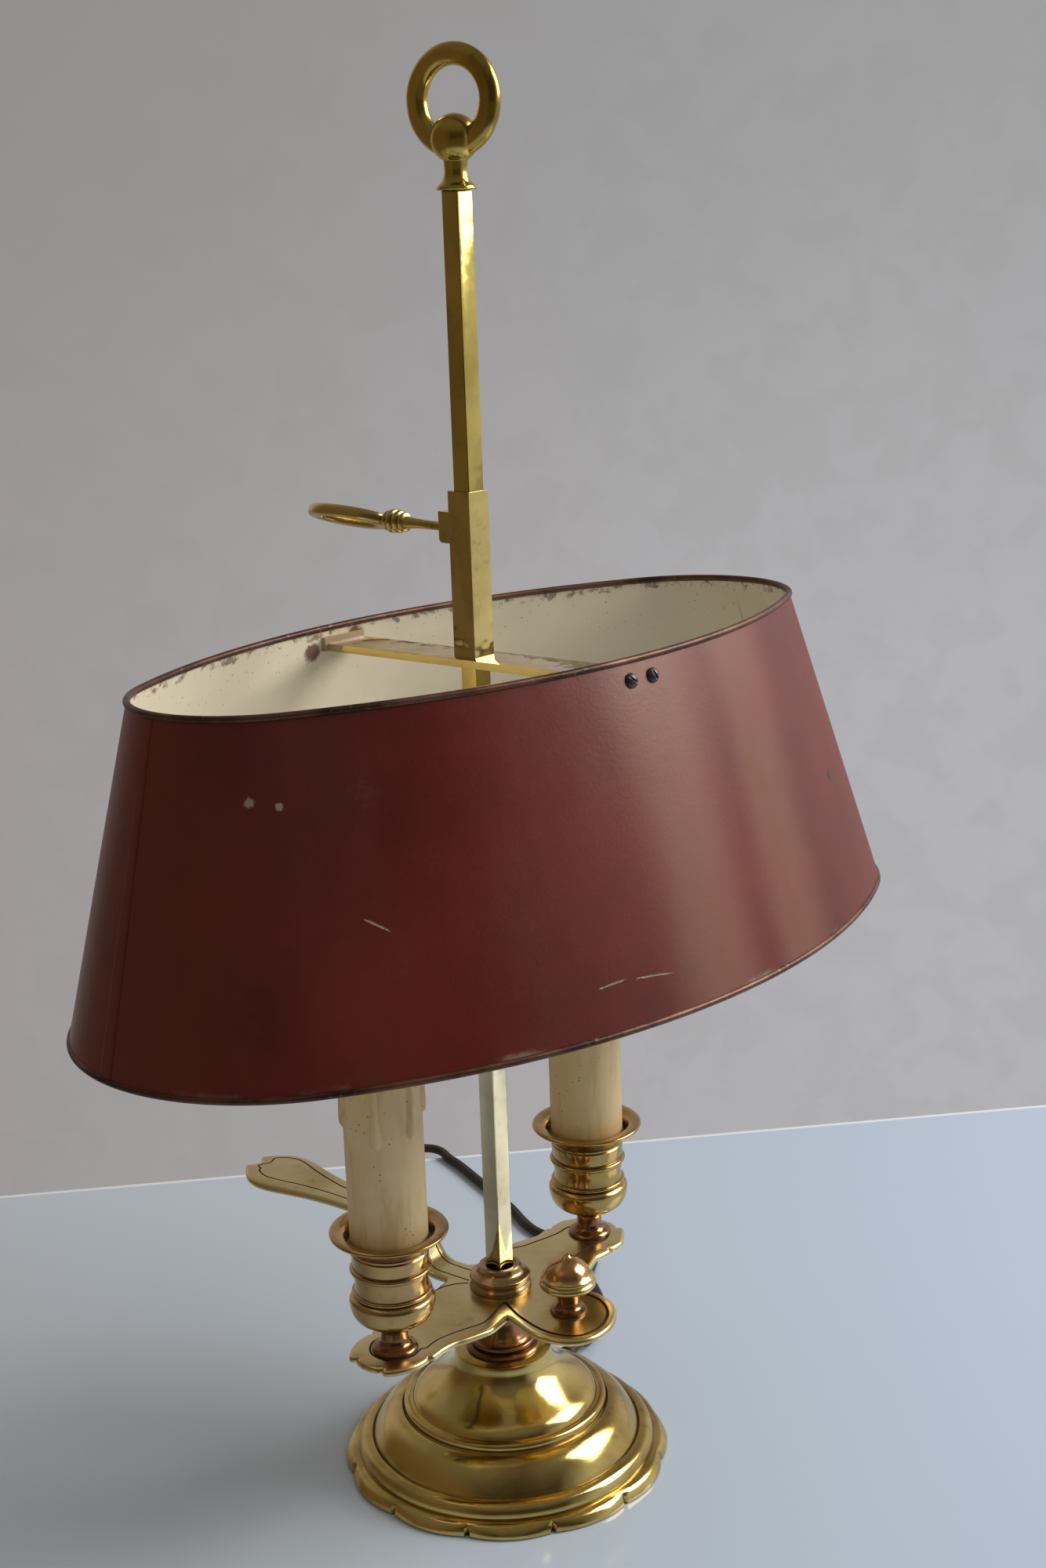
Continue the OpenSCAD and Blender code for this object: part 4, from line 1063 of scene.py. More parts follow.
# How far each arm's tip reaches, its half-width, and where its waist ends
LEFT_ARM, RIGHT_ARM = (80, 15.9, -46), (71.5, 17.2, -40.5)
LOBE_EDGE = smooth_run([
    (-18.3, -19.4), (-20.4, -26.8), (-22, -33), (-22.5, -40), (-21, -47.6), (-17, -53.6),
    (-10.5, -57.2), (-2.5, -57.6), (5.5, -55.2), (12, -51), (16.6, -45), (18.4, -38.4),
    (18.4, -32), (17.6, -26.8), (16.6, -19.4)])
LEAF_EDGE = smooth_run([
    (STRAP_W / 2, 48), (8.7, 66), (9.3, 84), (10.6, 95), (12.8, 105), (14.6, 112),
    (15.6, 119), (14.7, 125), (11.9, 130), (8.2, HANDLE_LEN - 3.6), (5.3, HANDLE_LEN - 1)])
HANDLE_LINE = ([(20, PLATE_MID)] + bend((28, PLATE_MID), (33.5, PLATE_MID), (36.4, 79.5), 14)
               + bend((41.2, 86.6), (45, 92.6), (54, 92.9), 14)
               + [(74, 93.2), (92, 93.6)] + bend((100, 93.9), (118, 94.6), (139.5, 95.7), 8))
# Lines engraved in the plate, and in the handle's own flat drawing
PLATE_LINES = [
    [(-11.1, -11.1), (-14.9, -12), (-21.2, -14), (-28, -15.2), (-34.3, -13.2), (-40.6, -11.2),
     (-47.2, -9.6), (-52.4, -9.6), (-56.2, -10.2), (-58.1, -9), (-61.6, -9.9), (-64.7, -9.9),
     (-71.2, -6.7), (-73, -2), (-72.6, 3), (-70, 7), (-64.7, 10), (-58.1, 9.2), (-52.4, 9.8),
     (-47.2, 9.8), (-40.6, 11.4), (-34.3, 13.4), (-28, 15.8), (-22, 18.2), (-16.5, 17.7),
     (-13.2, 16.4), (-9.6, 14.1), (-7.2, 11.4)],
    [(-10.3, -10.7), (-12.7, -16.5), (-15, -21.6), (-16.6, -27.4), (-18, -33.5), (-18.4, -40),
     (-17.4, -45.3), (-15.3, -49.7), (-11.8, -52.9), (-6, -54.3), (0.4, -53.5), (5.8, -51.1),
     (10.2, -47.4), (13.5, -42), (14.6, -36.8), (14.2, -30), (13, -22), (11.6, -15.5),
     (10.2, -12.6)],
    [(11.4, -12.4), (18, -14.2), (25, -15.4), (31, -12.6), (36.8, -9.6), (43.1, -9.1),
     (48.3, -9.1), (53, -9.6), (57, -10.2), (62.5, -7.2), (64.6, -2), (64.2, 3), (61.5, 7),
     (56, 9.8), (49, 9.8), (41.6, 11.4), (37.3, 12.6), (32.4, 13.7), (28, 16), (22, 17.6),
     (14, 16.2), (8.4, 12.2)]]
LEAF_LINE = [
    (-3.9, 13), (-4.0, 22), (-3.9, 40), (-3.4, 58), (-3.4, 78.9), (-3.7, 91), (-5.1, 103.3),
    (-6.9, 111.2), (-8.2, 118.6), (-8.3, 122.2), (-7.4, 125.2), (-6.1, 127.7), (-4, 128.9),
    (-3.1, 131.1), (-0.1, 130.3), (2, 129.1), (4.1, 129.4), (6.7, 130.2), (9.6, 127.6),
    (11.6, 123.5), (12, 119.9), (11, 114.8), (8.6, 107.6), (5.9, 97.1), (3.7, 85.1),
    (3.5, 70), (3.7, 50), (3.6, 34), (3.4, 22), (3.4, 17)]


class HandleBend:
    """The strap's side line: from distance along the flat strap to its bent place."""

    def __init__(self):
        self.marks = [20.0]
        for a, b in zip(HANDLE_LINE, HANDLE_LINE[1:]):
            self.marks.append(self.marks[-1] + math.dist(a, b))

    def flat(self, y):
        """Distance along the strap at a place y in plan."""
        if y <= HANDLE_LINE[0][0]:
            return y
        for (a, _), (b, _), s, t in zip(HANDLE_LINE, HANDLE_LINE[1:], self.marks, self.marks[1:]):
            if y <= b:
                return s + (t - s) * (y - a) / (b - a)
        return self.marks[-1]

    def bent(self, s, height):
        """Plan place and height of a point s along the strap and height above its middle."""
        if s <= self.marks[0]:
            return s, PLATE_MID + height
        last = len(self.marks) - 2
        i = next((k for k in range(last) if s <= self.marks[k + 1]), last)
        t = (s - self.marks[i]) / (self.marks[i + 1] - self.marks[i])

        def slope(k):
            a, b = HANDLE_LINE[max(k - 1, 0)], HANDLE_LINE[min(k + 1, last + 1)]
            d = math.dist(a, b)
            return (b[0] - a[0]) / d, (b[1] - a[1]) / d

        (ay, az), (by, bz) = HANDLE_LINE[i], HANDLE_LINE[i + 1]
        (dy, dz), (ey, ez) = slope(i), slope(i + 1)
        ny, nz = -(dz + (ez - dz) * t), dy + (ey - dy) * t
        return ay + (by - ay) * t + height * ny, az + (bz - az) * t + height * nz


def handle_to_plate(point):
    x, y = turn(point, HANDLE_YAW)
    return x + HANDLE_SHIFT, y


def plate_to_handle(x, y):
    return turn((x - HANDLE_SHIFT, y), -HANDLE_YAW)


class LAMP_OT_plate(LampOperator, bpy.types.Operator):
    """Cuts the lobed arm plate, rounds its edge, engraves it, and bends up its leaf handle"""
    bl_idname = "lamp.plate"
    bl_label = "Arm plate and handle"

    def outline(self, strap):
        leaf = [(x, strap.flat(y)) for x, y in LEAF_EDGE]
        notch = [(x, strap.flat(y)) for x, y in bend(
            (4.2, HANDLE_LEN - 1.4), (2, HANDLE_LEN - 3.8), (0.3, HANDLE_LEN - 4.2), 4)]
        end = strap.flat(HANDLE_LEN - 1)
        right = ([(STRAP_W / 2, 22)] + leaf + [(4.8, end + 0.25)] + notch
                 + [(0, strap.flat(HANDLE_LEN - 4.3))])
        handle = right + [(-x, y) for x, y in reversed(right[:-1])]
        left_arm, right_arm = arm_edge(*LEFT_ARM), arm_edge(*RIGHT_ARM)
        points = (LOBE_EDGE + [(-x, -y) for x, y in right_arm]
                  + [(-x, y * 0.96) for x, y in reversed(right_arm[:-1]) if -x > 18]
                  + [(12, 19.4), (8.4, 19.3)] + [handle_to_plate(p) for p in handle]
                  + [(-12.4, 20.2), (-14.5, 20.2)] + left_arm
                  + mirrored([p for p in left_arm[:-1] if p[0] < -18]))
        outline = spaced(points, 0.05)
        return outline if math.dist(outline[0], outline[-1]) > 0.05 else outline[:-1]

    def build(self, sizes, colours):
        strap = HandleBend()
        outline, top = self.outline(strap), PLATE_Z
        r = sizes.edge_round / MM
        levels = [(0.35, top - PLATE_T), (0.0, top - PLATE_T + 0.35)]
        for k in range(6):
            a = math.radians(18 * k)
            levels.append((r * (1 - math.cos(a)), top - r * (1 - math.sin(a))))
        plate = lofted("arm_plate_cut", [
            [(x, y, z) for x, y in (inset(outline, d) if d > 0.05 else outline)]
            for d, z in levels])
        coated(plate, "plate", "groove")
        half = sizes.line_width / 2 / MM
        lines = [(line, half * share) for line, share in zip(PLATE_LINES, (1.0, 1.55, 1.0))]
        lines.append(([handle_to_plate((x, strap.flat(y))) for x, y in LEAF_LINE], half * 0.85))
        for line, radius in lines:
            route = [(x, y, top + 0.18 * radius) for x, y in smooth_run(line, 3)]
            cutter = tube("groove", route, radius, 8)
            coated(cutter, "groove")
            joined(plate, cutter, "DIFFERENCE", material_mode="TRANSFER")
        for x, y, r in ((0, 0, 3.05), (-REACH_LEFT, 0, NIPPLE_R), (REACH_RIGHT, 0, NIPPLE_R),
                        (0, -REACH_ACORN, 2.55)):
            bored(plate, r, 20, (x, y, top))
        modified(plate, "TRIANGULATE", ngon_method="BEAUTY", quad_method="BEAUTY")
        self.bend_handle(plate, strap)
        put_on(plate, "base", "plate_brass", "plate", "arm_plate", at=AT_PLATE, crease=30)

    def bend_handle(self, plate, strap):
        """Cuts the flat strap across at close steps, then moves its points onto the bent line."""
        direction = turn((0, 1), HANDLE_YAW)
        steps, s = [], 24.0
        while s < strap.marks[-1] - 6:
            steps.append(s)
            s += 1.3 if s < 68 else 6.0
        edit(plate)
        for s in steps:
            x, y = handle_to_plate((0, s))
            bpy.ops.mesh.select_all(action="SELECT")
            bpy.ops.mesh.bisect(plane_co=mm(x, y, 0), plane_no=(*direction, 0))
        bpy.ops.object.mode_set(mode="OBJECT")
        for vertex in plate.data.vertices:
            x, s = plate_to_handle(vertex.co.x / MM, vertex.co.y / MM)
            if s > steps[0] - 0.1:
                y, z = strap.bent(s, vertex.co.z / MM - PLATE_MID)
                vertex.co = mm(*handle_to_plate((x, y)), z)
        plate.data.update()


class LAMP_OT_acorn(LampOperator, bpy.types.Operator):
    """Turns the acorn that stands on the round lobe"""
    bl_idname = "lamp.acorn"
    bl_label = "Acorn"

    def build(self, sizes, colours):
        profile = ([(0, 69), (2.5, 69), (2.5, PLATE_Z), (7.3, PLATE_Z), (7.4, 75.9), (7.1, 76.5)]
                   + bend((5.8, 77), (4.2, 78), (4.3, 80), 8)
                   + bend((4.4, 82.4), (6, 84), (8.2, 85), 8)
                   + arc(9.9, 87.7, 1.5, -60, 60, 10) + [(10.1, 89.4), (10.05, 89.7)]
                   + arc(9.9, 90.4, 0.85, -40, 70, 6)
                   + bend((9, 92.6), (7.6, 96.4), (1.7, 98.8), 12)
                   + [(1.2, 99.5), (0.6, 99.9), (0, 100)])
        acorn = turned("acorn_turned", profile, ACORN, 72, 38)
        put_on(acorn, "base", "acorn_brass", "acorn", "acorn")


# ---- candle lights ----

# Wax drips on a candle: angle round it, height of the lower end, width, share of the depth
DRIPS_LEFT = [(-143.6, 165.7, 4.4, 1.0), (-90.2, 168, 3.8, 0.9), (133.3, 169.3, 3.4, 0.85),
              (-46.7, 174, 3.4, 0.8), (153.3, 176, 2.8, 0.6), (60, 171, 4.0, 0.9),
              (8, 179, 3.2, 0.8)]
DRIPS_RIGHT = [(-120, 183, 4.2, 0.9), (-60, 187, 3.4, 0.8), (10, 181, 3.8, 0.9),
               (95, 178, 4.0, 0.9), (170, 186, 3.2, 0.8)]
DRIP_END = 3.4


class LAMP_OT_candles(LampOperator, bpy.types.Operator):
    """Turns the cups, the candle sleeves with their drips, the bulb caps and the bulbs"""
    bl_idname = "lamp.candles"
    bl_label = "Candle lights"

    def build(self, sizes, colours):
        for side, at, drips in (("left", LEFT, DRIPS_LEFT), ("right", RIGHT, DRIPS_RIGHT)):
            for piece, slot, finish, node in (
                    (self.cup("cup_turned_" + side, at), "cup_bronze", "cup_" + side, "cup_"),
                    (self.candle("candle_sleeve_" + side, at, drips, sizes.drip / MM),
                     "ivory_sleeve", "ivory", "candle_"),
                    (self.cap("cap_turned_" + side, at), "cap_metal", "cap", "bulb_cap_"),
                    (self.bulb("bulb_blown_" + side, at), "lamp_glass", "glass", "bulb_glass_")):
                put_on(piece, "base", slot, finish, node + side)
            put_on(self.filament("filament_" + side, at), "base", "cap_metal", "filament")

    def cup(self, name, at):
        profile = ([(NIPPLE_R, PLATE_Z), (8.9, PLATE_Z), (9.05, 75.7), (8.8, 76.3)]
                   + bend((7.9, 77), (5.3, 78), (5.3, 81), 10)
                   + bend((5.3, 83), (5.6, 86), (9, 87.2), 8)
                   + bend((12.4, 88.4), (16.2, 90.4), (16.7, 96), 12)
                   + bend((16.7, 97.4), (16.5, 98.6), (15.2, 99.4), 6)
                   + [(14.6, 99.7)] + arc(14.8, 100.8, 0.85, -70, 70, 8) + [(14.5, 101.8)]
                   + bend((14.5, 102.1), (14.1, 105), (14.7, 108.6), 10)
                   + [(14.6, 109.2)] + arc(15.0, 110.4, 1.0, -65, 65, 8)
                   + [(14.8, 111.7), (15.1, 112.2), (15.1, 117.2), (14.6, 117.8), (14.6, 118.4)]
                   + bend((15.4, 119.4), (17.6, 122.4), (21.6, 124.4), 10)
                   + arc(22.2, 125.7, 0.85, -75, 90, 9)
                   + [(21.4, 126.7), (19.6, 126.4), (18.2, 126.0)]
                   + bend((17.8, 125.6), (16.7, 124.4), (16.3, DISH_Z), 8)
                   + [(13.3, DISH_Z), (13.3, SOCKET_Z), (NIPPLE_R, SOCKET_Z)])
        return turned(name, profile + profile[:1], at, 96, 34)

    def candle(self, name, at, drips, depth):
        inner = CANDLE_R - 1.5
        rows = [DISH_Z] + [DISH_Z + 2 * i for i in range(1, 14)]
        rows += [150 + 0.8 * i for i in range(int((CANDLE_TOP - 1.4 - 150) / 0.8) + 1)]
        profile = ([(inner, DISH_Z)] + [(CANDLE_R, z) for z in rows]
                   + [(CANDLE_R - 0.15, CANDLE_TOP - 0.5), (CANDLE_R - 0.5, CANDLE_TOP - 0.1),
                      (CANDLE_R - 0.9, CANDLE_TOP), (inner, CANDLE_TOP - 0.2), (inner, DISH_Z)])
        candle = turned(name, profile, (0, 0), 180, 40)
        for vertex in candle.data.vertices:
            x, y, z = (c / MM for c in vertex.co)
            radius = math.hypot(x, y)
            if radius < CANDLE_R - 1.2:
                continue
            out = 0.0
            for angle, low, width, share in drips:
                away = math.radians((math.degrees(math.atan2(y, x)) - angle + 180) % 360 - 180)
                up = z - low
                if up < 0:
                    continue
                bulb = math.sqrt(max(0, 1 - (1 - min(up / DRIP_END, 1)) ** 2))
                neck = 0.62 + 0.38 * math.exp(-((up - DRIP_END) / 6) ** 2) if up > DRIP_END else 1
                spread = 1 + max(0, up - 24) * 0.035
                half = 0.5 * width * bulb * neck * spread
                if half > 0.05 and abs(away * CANDLE_R) < half:
                    lift = (1 - (away * CANDLE_R / half) ** 2) ** 0.6
                    out = max(out, depth * share * lift * bulb * (0.55 + 0.45 * neck))
            if out:
                scale = (radius + out) / radius
                vertex.co = mm(x * scale, y * scale, z)
        placed(candle, shift(*at, 0))
        return softened(candle, 50)

    def cap(self, name, at):
        z, r = SOCKET_TOP, 6.9
        thread = []
        for i in range(8):
            thread += [(r, z - 18 + i * 2.2), (r - 0.45, z - 17 + i * 2.2)]
        profile = ([(0, z - 23.6), (3, z - 23.6), (6.2, z - 20.4), (6.5, z - 19)] + thread
                   + [(r, z - 0.4), (r, z + 3), (r - 0.3, z + 3), (r - 0.9, z + 1),
                      (r - 0.9, z - 17), (0, z - 21)])
        return turned(name, profile, at, 64, 30)

    def bulb(self, name, at):
        z = SOCKET_TOP
        side = smooth_run([(6.4, z - 3), (6.4, z + 4), (9.5, z + 13), (15.6, z + 24),
                           (17.5, z + 36), (15.2, z + 52), (9, z + 70), (3.4, BULB_TOP - 3),
                           (0.9, BULB_TOP)])
        inner = [(max(x - 0.7, 0), y) for x, y in reversed(side[:-1])]
        return turned(name, side + [(0, BULB_TOP + 0.2), (0, BULB_TOP - 1.4)] + inner + side[:1],
                      at, 72, 60)

    def filament(self, name, at):
        """The glass stem's wires and the fine filament between them."""
        z = SOCKET_TOP
        pieces = [tube("wire", [(s * 1.6, 0, z - 4), (s * 1.8, 0, z + 10), (s * 4.6, 0, z + 30)],
                       0.35, 8, (0, 1, 0)) for s in (-1, 1)]
        loops = [(-4.6, 0, z + 30), (-3.4, 0, z + 38), (-1.8, 0, z + 27), (0, 0, z + 38),
                 (1.8, 0, z + 27), (3.4, 0, z + 38), (4.6, 0, z + 30)]
        pieces.append(tube("coil", smooth_run(loops, 6), 0.22, 6, (0, 1, 0)))
        pieces.append(turned("stem", [(0, z - 6), (3.2, z - 6), (2.4, z + 6), (1.1, z + 12),
                                      (0, z + 13)], steps=24))
        wires = merged(name, *pieces)
        return placed(wires, shift(*at, 0))


# ---- shade ----

def oval_run(name, section, halves=1, closed=False):
    """Runs a section round the oval. It is drawn as (distance out from the lower edge, z)."""
    piece = drawn(name, [(END_C + END_R + out, 0, z) for out, z in section], closed)
    for s in (1, -1)[:halves]:
        for centre, angle in (((s * END_C, 0), END_ANGLE),
                              ((0, -s * SIDE_D), math.pi - 2 * END_ANGLE),
                              ((-s * END_C, 0), END_ANGLE)):
            bpy.ops.mesh.spin(steps=36, angle=-angle, center=mm(*centre, 0), axis=(0, 0, 1))
    bpy.ops.mesh.select_all(action="SELECT")
    bpy.ops.mesh.remove_doubles(threshold=WELD)
    return piece


def at_screw(offset):
    """Where a screw goes through the +Y wall, its own Z square to the wall."""
    return (shift(0, -SIDE_D, 0)
            @ rotation(90 - math.degrees(math.asin(offset / SIDE_R)), "Z")
            @ shift(SIDE_R - LEAN_IN + SCREW_DROP * LEAN, 0, -SCREW_DROP)
            @ rotation(90 - math.degrees(math.atan(LEAN)), "Y"))


class LAMP_OT_shade(LampOperator, bpy.types.Operator):
    """Rolls the shade's two sheets, wires its edges, and sets the screws"""
    bl_idname = "lamp.shade"
    bl_label = "Shade"

    def build(self, sizes, colours):
        rows = [(-LEAN_IN * (1 - t), -SHADE_H * t) for t in (i / 6 for i in range(7))]
        for name, node, half_turn in (("wall_back", "shade_back", 0),
                                      ("wall_front", "shade_front", 180)):
            wall = oval_run(name, rows)
            bpy.ops.mesh.normals_make_consistent(inside=False)
            bpy.ops.object.mode_set(mode="OBJECT")
            if sum(self.outwards(face) for face in wall.data.polygons) < 0:
                edit(wall)
                bpy.ops.mesh.flip_normals()
                bpy.ops.object.mode_set(mode="OBJECT")
            coated(wall, "paint", "cream")
            modified(wall, "SOLIDIFY", thickness=sizes.sheet, offset=-1)
            for face in wall.data.polygons:
                face.material_index = 1 if self.outwards(face) < 0 else 0
            put_on(wall, "shade", "shade_paint", "paint", node,
                   at=AT_SHADE @ rotation(half_turn, "Z"), crease=30)
        r = sizes.rim / MM
        middle = -0.35 * (1 + LEAN ** 2) ** 0.5
        for name, node, out, z in (("rim_wire_top", "rim_top", -LEAN_IN + middle, 0.5 * r),
                                   ("rim_wire_bottom", "rim_bottom", middle, -SHADE_H - 0.5 * r)):
            circle = arc(out, z, r, 0, 360, 14)[:-1]
            rim = oval_run(name, circle, 2, True)
            closed_up()
            put_on(rim, "shade", "rim_copper", "rim", node, at=AT_SHADE, crease=60)
        for side, half_turn in (("left", 180), ("right", 0)):
            put_on(self.seam("seam_strip_" + side), "shade", "shade_paint", "paint",
                   "seam_" + side, at=AT_SHADE @ rotation(half_turn, "Z"), crease=30)
        for name, node, half_turn, offsets in (
                ("screw_pair_front", "screws_front", 180, FRONT_SCREWS),
                ("screw_pair_back", "screws_back", 0, BACK_SCREWS)):
            pair = [placed(self.screw(17 + 31 * i), AT_SHADE @ rotation(half_turn, "Z")
                           @ at_screw(x)) for i, x in enumerate(offsets)]
            put_on(merged(name, *pair), "shade", "screw_steel", "steel", node)

    def outwards(self, face):
        """Above 0 where a face of the wall looks away from the shade's axis."""
        return face.normal.x * face.center.x + face.normal.y * face.center.y

    def seam(self, name):
        """The lap where the two sheets meet, a thin strip bent round the end of the oval."""
        rings = []
        for i in range(9):
            a = math.radians(-2.4 + 0.6 * i)
            edge = 0.12 if i in (0, 8) else 0.5
            column = []
            for out, count in ((0.02, range(7)), (edge, range(6, -1, -1))):
                for k in count:
                    t = 0.006 + 0.988 * k / 6
                    r = END_R - LEAN_IN * (1 - t) + out
                    column.append((END_C + r * math.cos(a), r * math.sin(a), -SHADE_H * t))
            rings.append(column)
        return lofted(name, rings)

    def screw(self, slot_turn):
        """A slotted screw on its own axis, head outwards."""
        head = ([(0, -6), (1.2, -6), (1.2, 0.1), (2.7, 0.1), (2.78, 0.5)]
                + arc(0, -1.35, 3.3, 33, 90, 9))
        screw = turned("screw", head, steps=40)
        slot = box_piece("slot", (-4, -0.42, 1.25), (4, 0.42, 3))
        placed(slot, rotation(slot_turn, "Z"))
        joined(screw, slot, "DIFFERENCE")
        return softened(screw, 30)


class LAMP_OT_carrier(LampOperator, bpy.types.Operator):
    """Shapes the bar and sleeve that carry the shade, and the thumb key"""
    bl_idname = "lamp.carrier"
    bl_label = "Shade carrier and key"

    def build(self, sizes, colours):
        carrier = copied("carrier_cast", "carrier", 0.5, 40)
        put_on(carrier, "shade", "carrier_brass", "carrier", "carrier")
        profile = ([(0, 5.5), (2.0, 5.5), (2.0, BOSS_Y + 0.2), (1.7, BOSS_Y + 1), (1.7, 22)]
                   + bend((1.7, 24), (2, 31), (2.5, 34.2), 10)
                   + arc(2.9, 35.4, 1.0, -65, 65, 8) + [(2.7, 36.6)]
                   + arc(3.2, 38.2, 1.25, -70, 70, 9) + [(2.9, 39.8)]
                   + arc(3.4, 41.4, 1.25, -70, 70, 9) + [(2.9, 43.0)]
                   + arc(3.0, 44.2, 0.95, -70, 70, 8) + [(2.6, 45.6), (2.2, 47.2), (0, 47.6)])
        key = turned("key_cast", profile, steps=48, crease=36)
        a, b = BOW_LEN / 2 - 2.35, BOW_W / 2 - 2.0
        rings = []
        for t in round_steps(72):
            side = 2.0 + 0.4 * math.cos(t) ** 2
            out = Vector((a * math.sin(t), b * math.cos(t))).normalized()
            x, z = b * math.sin(t), a * math.cos(t)
            rings.append([(x + side * u * out.x, 2.4 * v, z + side * u * out.y)
                          for u, v in self.soft_box()])
        bow = lofted("bow", rings, loop=True, crease=40)
        placed(bow, rotation(BOW_ROLL, "Z") @ shift(0, 0, 46.6 + BOW_LEN / 2))
        put_on(merged("key_cast", bow, key), "thumb_key", "key_brass", "key", "key",
               at=shift(0, 0, KEY_Z) @ rotation(-90, "X"))

    def soft_box(self):
        """Section of the bow: a square with well-rounded corners."""
        shape = []
        for a in round_steps(20):
            c, s = math.cos(a), math.sin(a)
            r = (abs(c) ** 3.2 + abs(s) ** 3.2) ** (-1 / 3.2)
            shape.append((r * c, r * s))
        return shape


# ---- stage ----

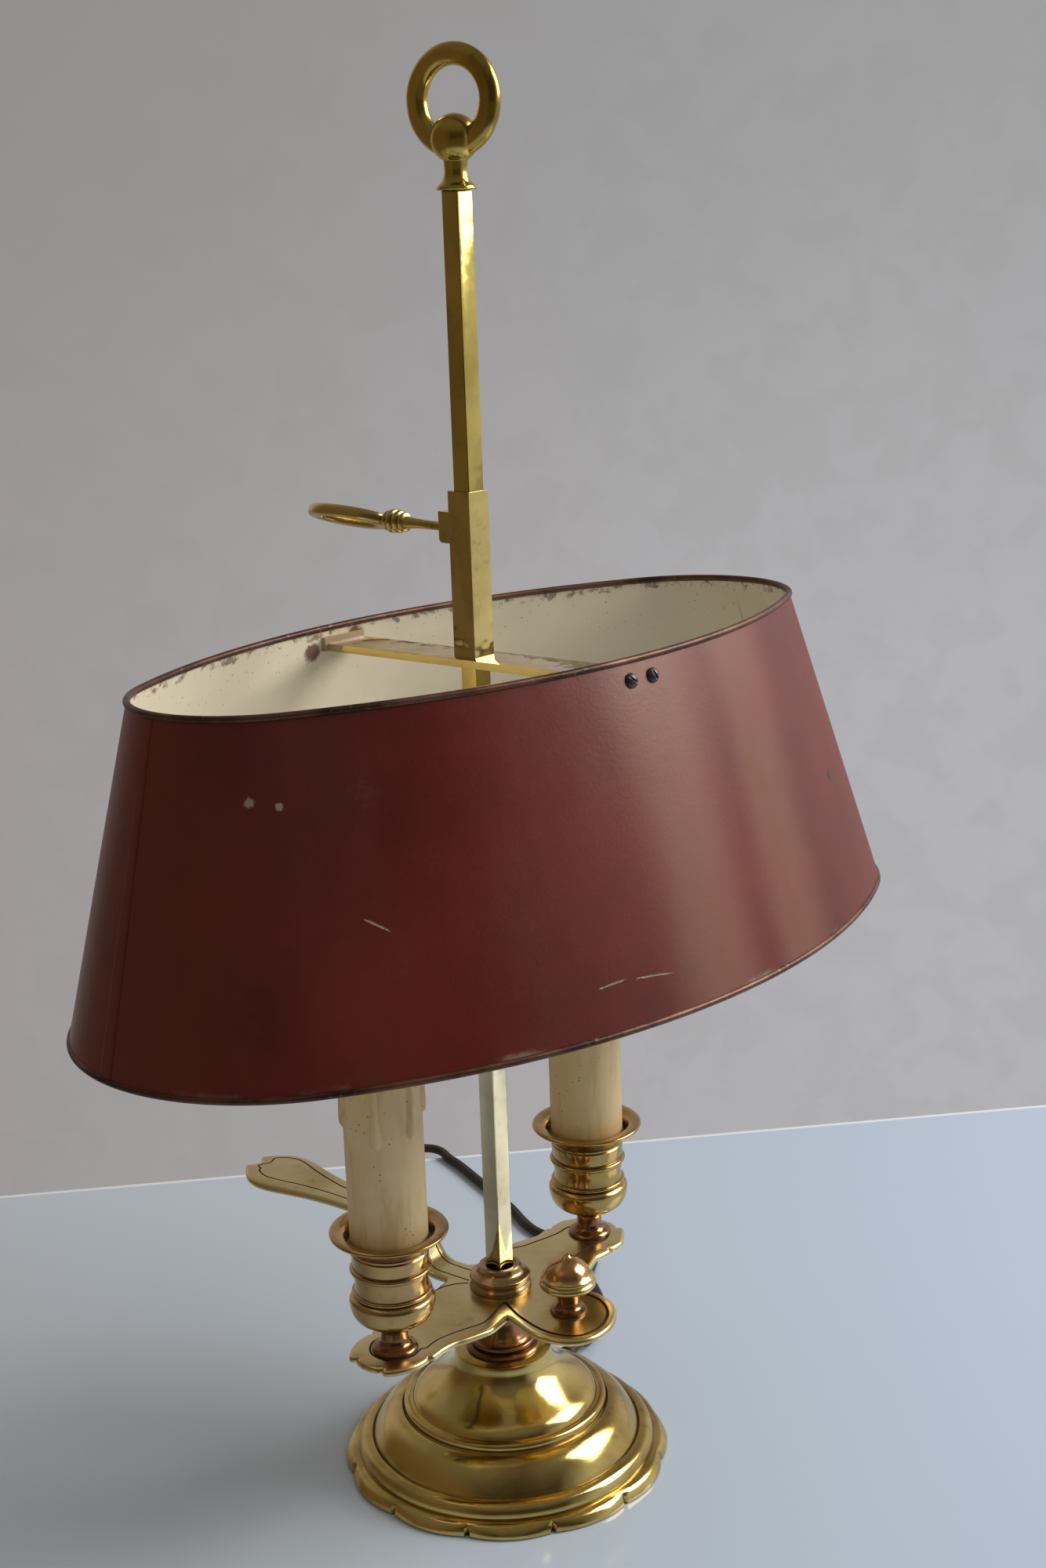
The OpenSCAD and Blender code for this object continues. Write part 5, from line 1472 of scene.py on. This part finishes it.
class LAMP_OT_stage(LampOperator, bpy.types.Operator):
    """Lays the floor, and lights it from a soft window and the room"""
    bl_idname = "lamp.stage"
    bl_label = "Floor and light"

    def build(self, sizes, colours):
        clear()
        bpy.ops.mesh.primitive_plane_add(size=2 * sizes.floor, location=(0, 0, 0))
        floor = named("floor")
        floor.data.materials.append(self.floor_finish(colours))
        aim = Vector(WINDOW_AIM).normalized()
        clear()
        bpy.ops.object.light_add(
            type="AREA", location=aim * WINDOW_AWAY + Vector(mm(*WINDOW_LOOKS_AT)))
        window = named("window")
        window.rotation_euler = aim.to_track_quat("Z", "Y").to_euler()
        window.data.shape, window.data.size, window.data.size_y = "RECTANGLE", 1.1, 1.0
        window.data.energy = sizes.window
        window.data.color = (1.0, 0.985, 0.96)
        self.room(sizes, colours)
        bpy.context.scene.view_settings.view_transform = "Standard"

    def room_tone(self, finish, way, colours):
        """What the lamp sees of the room in a direction: a window side, a wall, a dim corner."""
        flat = finish.vector("NORMALIZE", way)
        window = finish.along(flat, TO_WINDOW).rise(0.45, 0.95)
        wall = finish.along(flat, (0.65, 0.76, 0)).rise(-0.25, 0.55)
        corner = finish.along(flat, (-0.83, 0.55, 0)).rise(0.45, 0.8)
        tone = finish.mix((0.055, 0.045, 0.035), tuple(colours.wall), wall)
        tone = finish.mix(tone, (0.75, 0.77, 0.80), window * 0.8)
        return finish.mix(tone, (0.14, 0.10, 0.06), corner)

    def wall_tone(self, finish, way, colours):
        """The wall behind the lamp, its painted light paler at the right and dimmer high up."""
        flat = finish.vector("NORMALIZE", way)
        side = finish.along(flat, tuple(CAMERA_RIGHT)).rise(-0.30, 0.26)
        high = finish.along(flat, tuple(CAMERA_UP)).rise(0.02, 0.36)
        tone = finish.mix(tint(colours.wall, 0.81), (0.45, 0.45, 0.465), side)
        tone = finish.mix(tone, (0.20, 0.203, 0.19), high * 0.4)
        plaster = finish.noise(flat, 42, 3, 0.55, 0.3)
        return finish.mix(tone, (0.27, 0.26, 0.25), plaster.rise(0.42, 0.62) * 0.12)

    def floor_finish(self, colours):
        """A glossy pale table, and past its far edge the wall's colour."""
        finish = Finish("floor_paint")
        spot = finish.point()
        patch = finish.noise(spot, 3, 3)
        # Painted light: the table's colour is paler and greyer at the left and bluer towards the
        # window at the right.
        side = finish.along(spot, tuple(CAMERA_RIGHT)).rise(-0.3, 0.35)
        colour = finish.mix((0.54, 0.60, 0.65), tuple(colours.table), side)
        colour = finish.mix(colour, (0.45, 0.52, 0.60), patch * 0.25)
        far = finish.along(spot, TO_TABLE_EDGE)
        lit_edge = far.rise(TABLE_EDGE - 0.0025, TABLE_EDGE - 0.001)
        colour = finish.mix(colour, (0.80, 0.83, 0.86), lit_edge)
        table = finish.add("ShaderNodeBsdfPrincipled", None, {
            "Base Color": colour, "Roughness": 0.07 + patch * 0.05})
        camera, glossy, through = self.rays(finish, "Camera", "Glossy", "Transmission")
        from_camera = finish.vector("SUBTRACT", spot, mm(*CAMERA_AT))
        dim_room = finish.mix(self.room_tone(finish, spot, colours), (0.15, 0.12, 0.08), 0.5)
        tone = finish.mix(dim_room, self.wall_tone(finish, from_camera, colours), camera)
        wall = finish.add("ShaderNodeEmission", None, {"Color": tone, "Strength": 1.0})
        past = far.rise(TABLE_EDGE, TABLE_EDGE + 0.0015)
        past = past * (camera + glossy + through).clipped()
        distant = finish.vector("LENGTH", spot).rise(0.45, 0.8) * glossy
        both = finish.add("ShaderNodeMixShader", None, {
            0: past.most(distant), 1: table.outputs[0], 2: wall.outputs[0]})
        finish.tree.links.new(both.outputs[0], finish.output.inputs[0])
        return finish.data

    def rays(self, finish, *kinds):
        """For each kind of ray, 1 where one of that kind is being followed."""
        path = finish.add("ShaderNodeLightPath")
        return [Amount(finish, path.outputs[f"Is {kind} Ray"]) for kind in kinds]

    def room(self, sizes, colours):
        """The room all round, and the wall's colour behind the lamp."""
        finish = Finish("room", world=True)
        way = finish.add("ShaderNodeTexCoord").outputs["Generated"]
        camera, glossy = self.rays(finish, "Camera", "Glossy")
        up = finish.along(way, (0, 0, 1)).rise(0.25, 0.9)
        tone = finish.mix(self.room_tone(finish, way, colours), (0.17, 0.155, 0.13), up)
        side = finish.along(way, TO_WINDOW).rise(-0.7, 0.6)
        soft = finish.mix((0.41, 0.34, 0.28), (0.64, 0.66, 0.69), side)
        tone = finish.mix(soft, tone, glossy)
        colour = finish.mix(tone, self.wall_tone(finish, way, colours), camera)
        strength = sizes.room + (camera + glossy).clipped() * (1 - sizes.room)
        light = finish.add("ShaderNodeBackground", None, {"Color": colour, "Strength": strength})
        finish.tree.links.new(light.outputs[0], finish.output.inputs[0])


# ---- panel and registration ----

STEPS = (LAMP_OT_camera, LAMP_OT_finishes, LAMP_OT_cord, LAMP_OT_foot, LAMP_OT_stem,
         LAMP_OT_plate, LAMP_OT_acorn, LAMP_OT_candles, LAMP_OT_shade, LAMP_OT_carrier,
         LAMP_OT_stage)


class LAMP_PT_steps(bpy.types.Panel):
    """The lamp's steps, sizes and colours"""
    bl_idname = "LAMP_PT_steps"
    bl_label = "Bouillotte lamp"
    bl_space_type = "VIEW_3D"
    bl_region_type = "UI"
    bl_category = "Lamp"

    def draw(self, context):
        for step in STEPS:
            self.layout.operator(step.bl_idname)
        for group in (context.scene.lamp_sizes, context.scene.lamp_colours):
            box = self.layout.box()
            for name in group.__annotations__:
                box.prop(group, name)


CLASSES = (LampSizes, LampColours, *STEPS, LAMP_PT_steps)


def register():
    for one in CLASSES:
        bpy.utils.register_class(one)
    bpy.types.Scene.lamp_sizes = bpy.props.PointerProperty(type=LampSizes)
    bpy.types.Scene.lamp_colours = bpy.props.PointerProperty(type=LampColours)


def unregister():
    del bpy.types.Scene.lamp_sizes, bpy.types.Scene.lamp_colours
    for one in reversed(CLASSES):
        bpy.utils.unregister_class(one)


def main():
    register()
    for step in STEPS:
        group, name = step.bl_idname.split(".")
        getattr(getattr(bpy.ops, group), name)()
    clear()


if __name__ == "__main__":
    main()
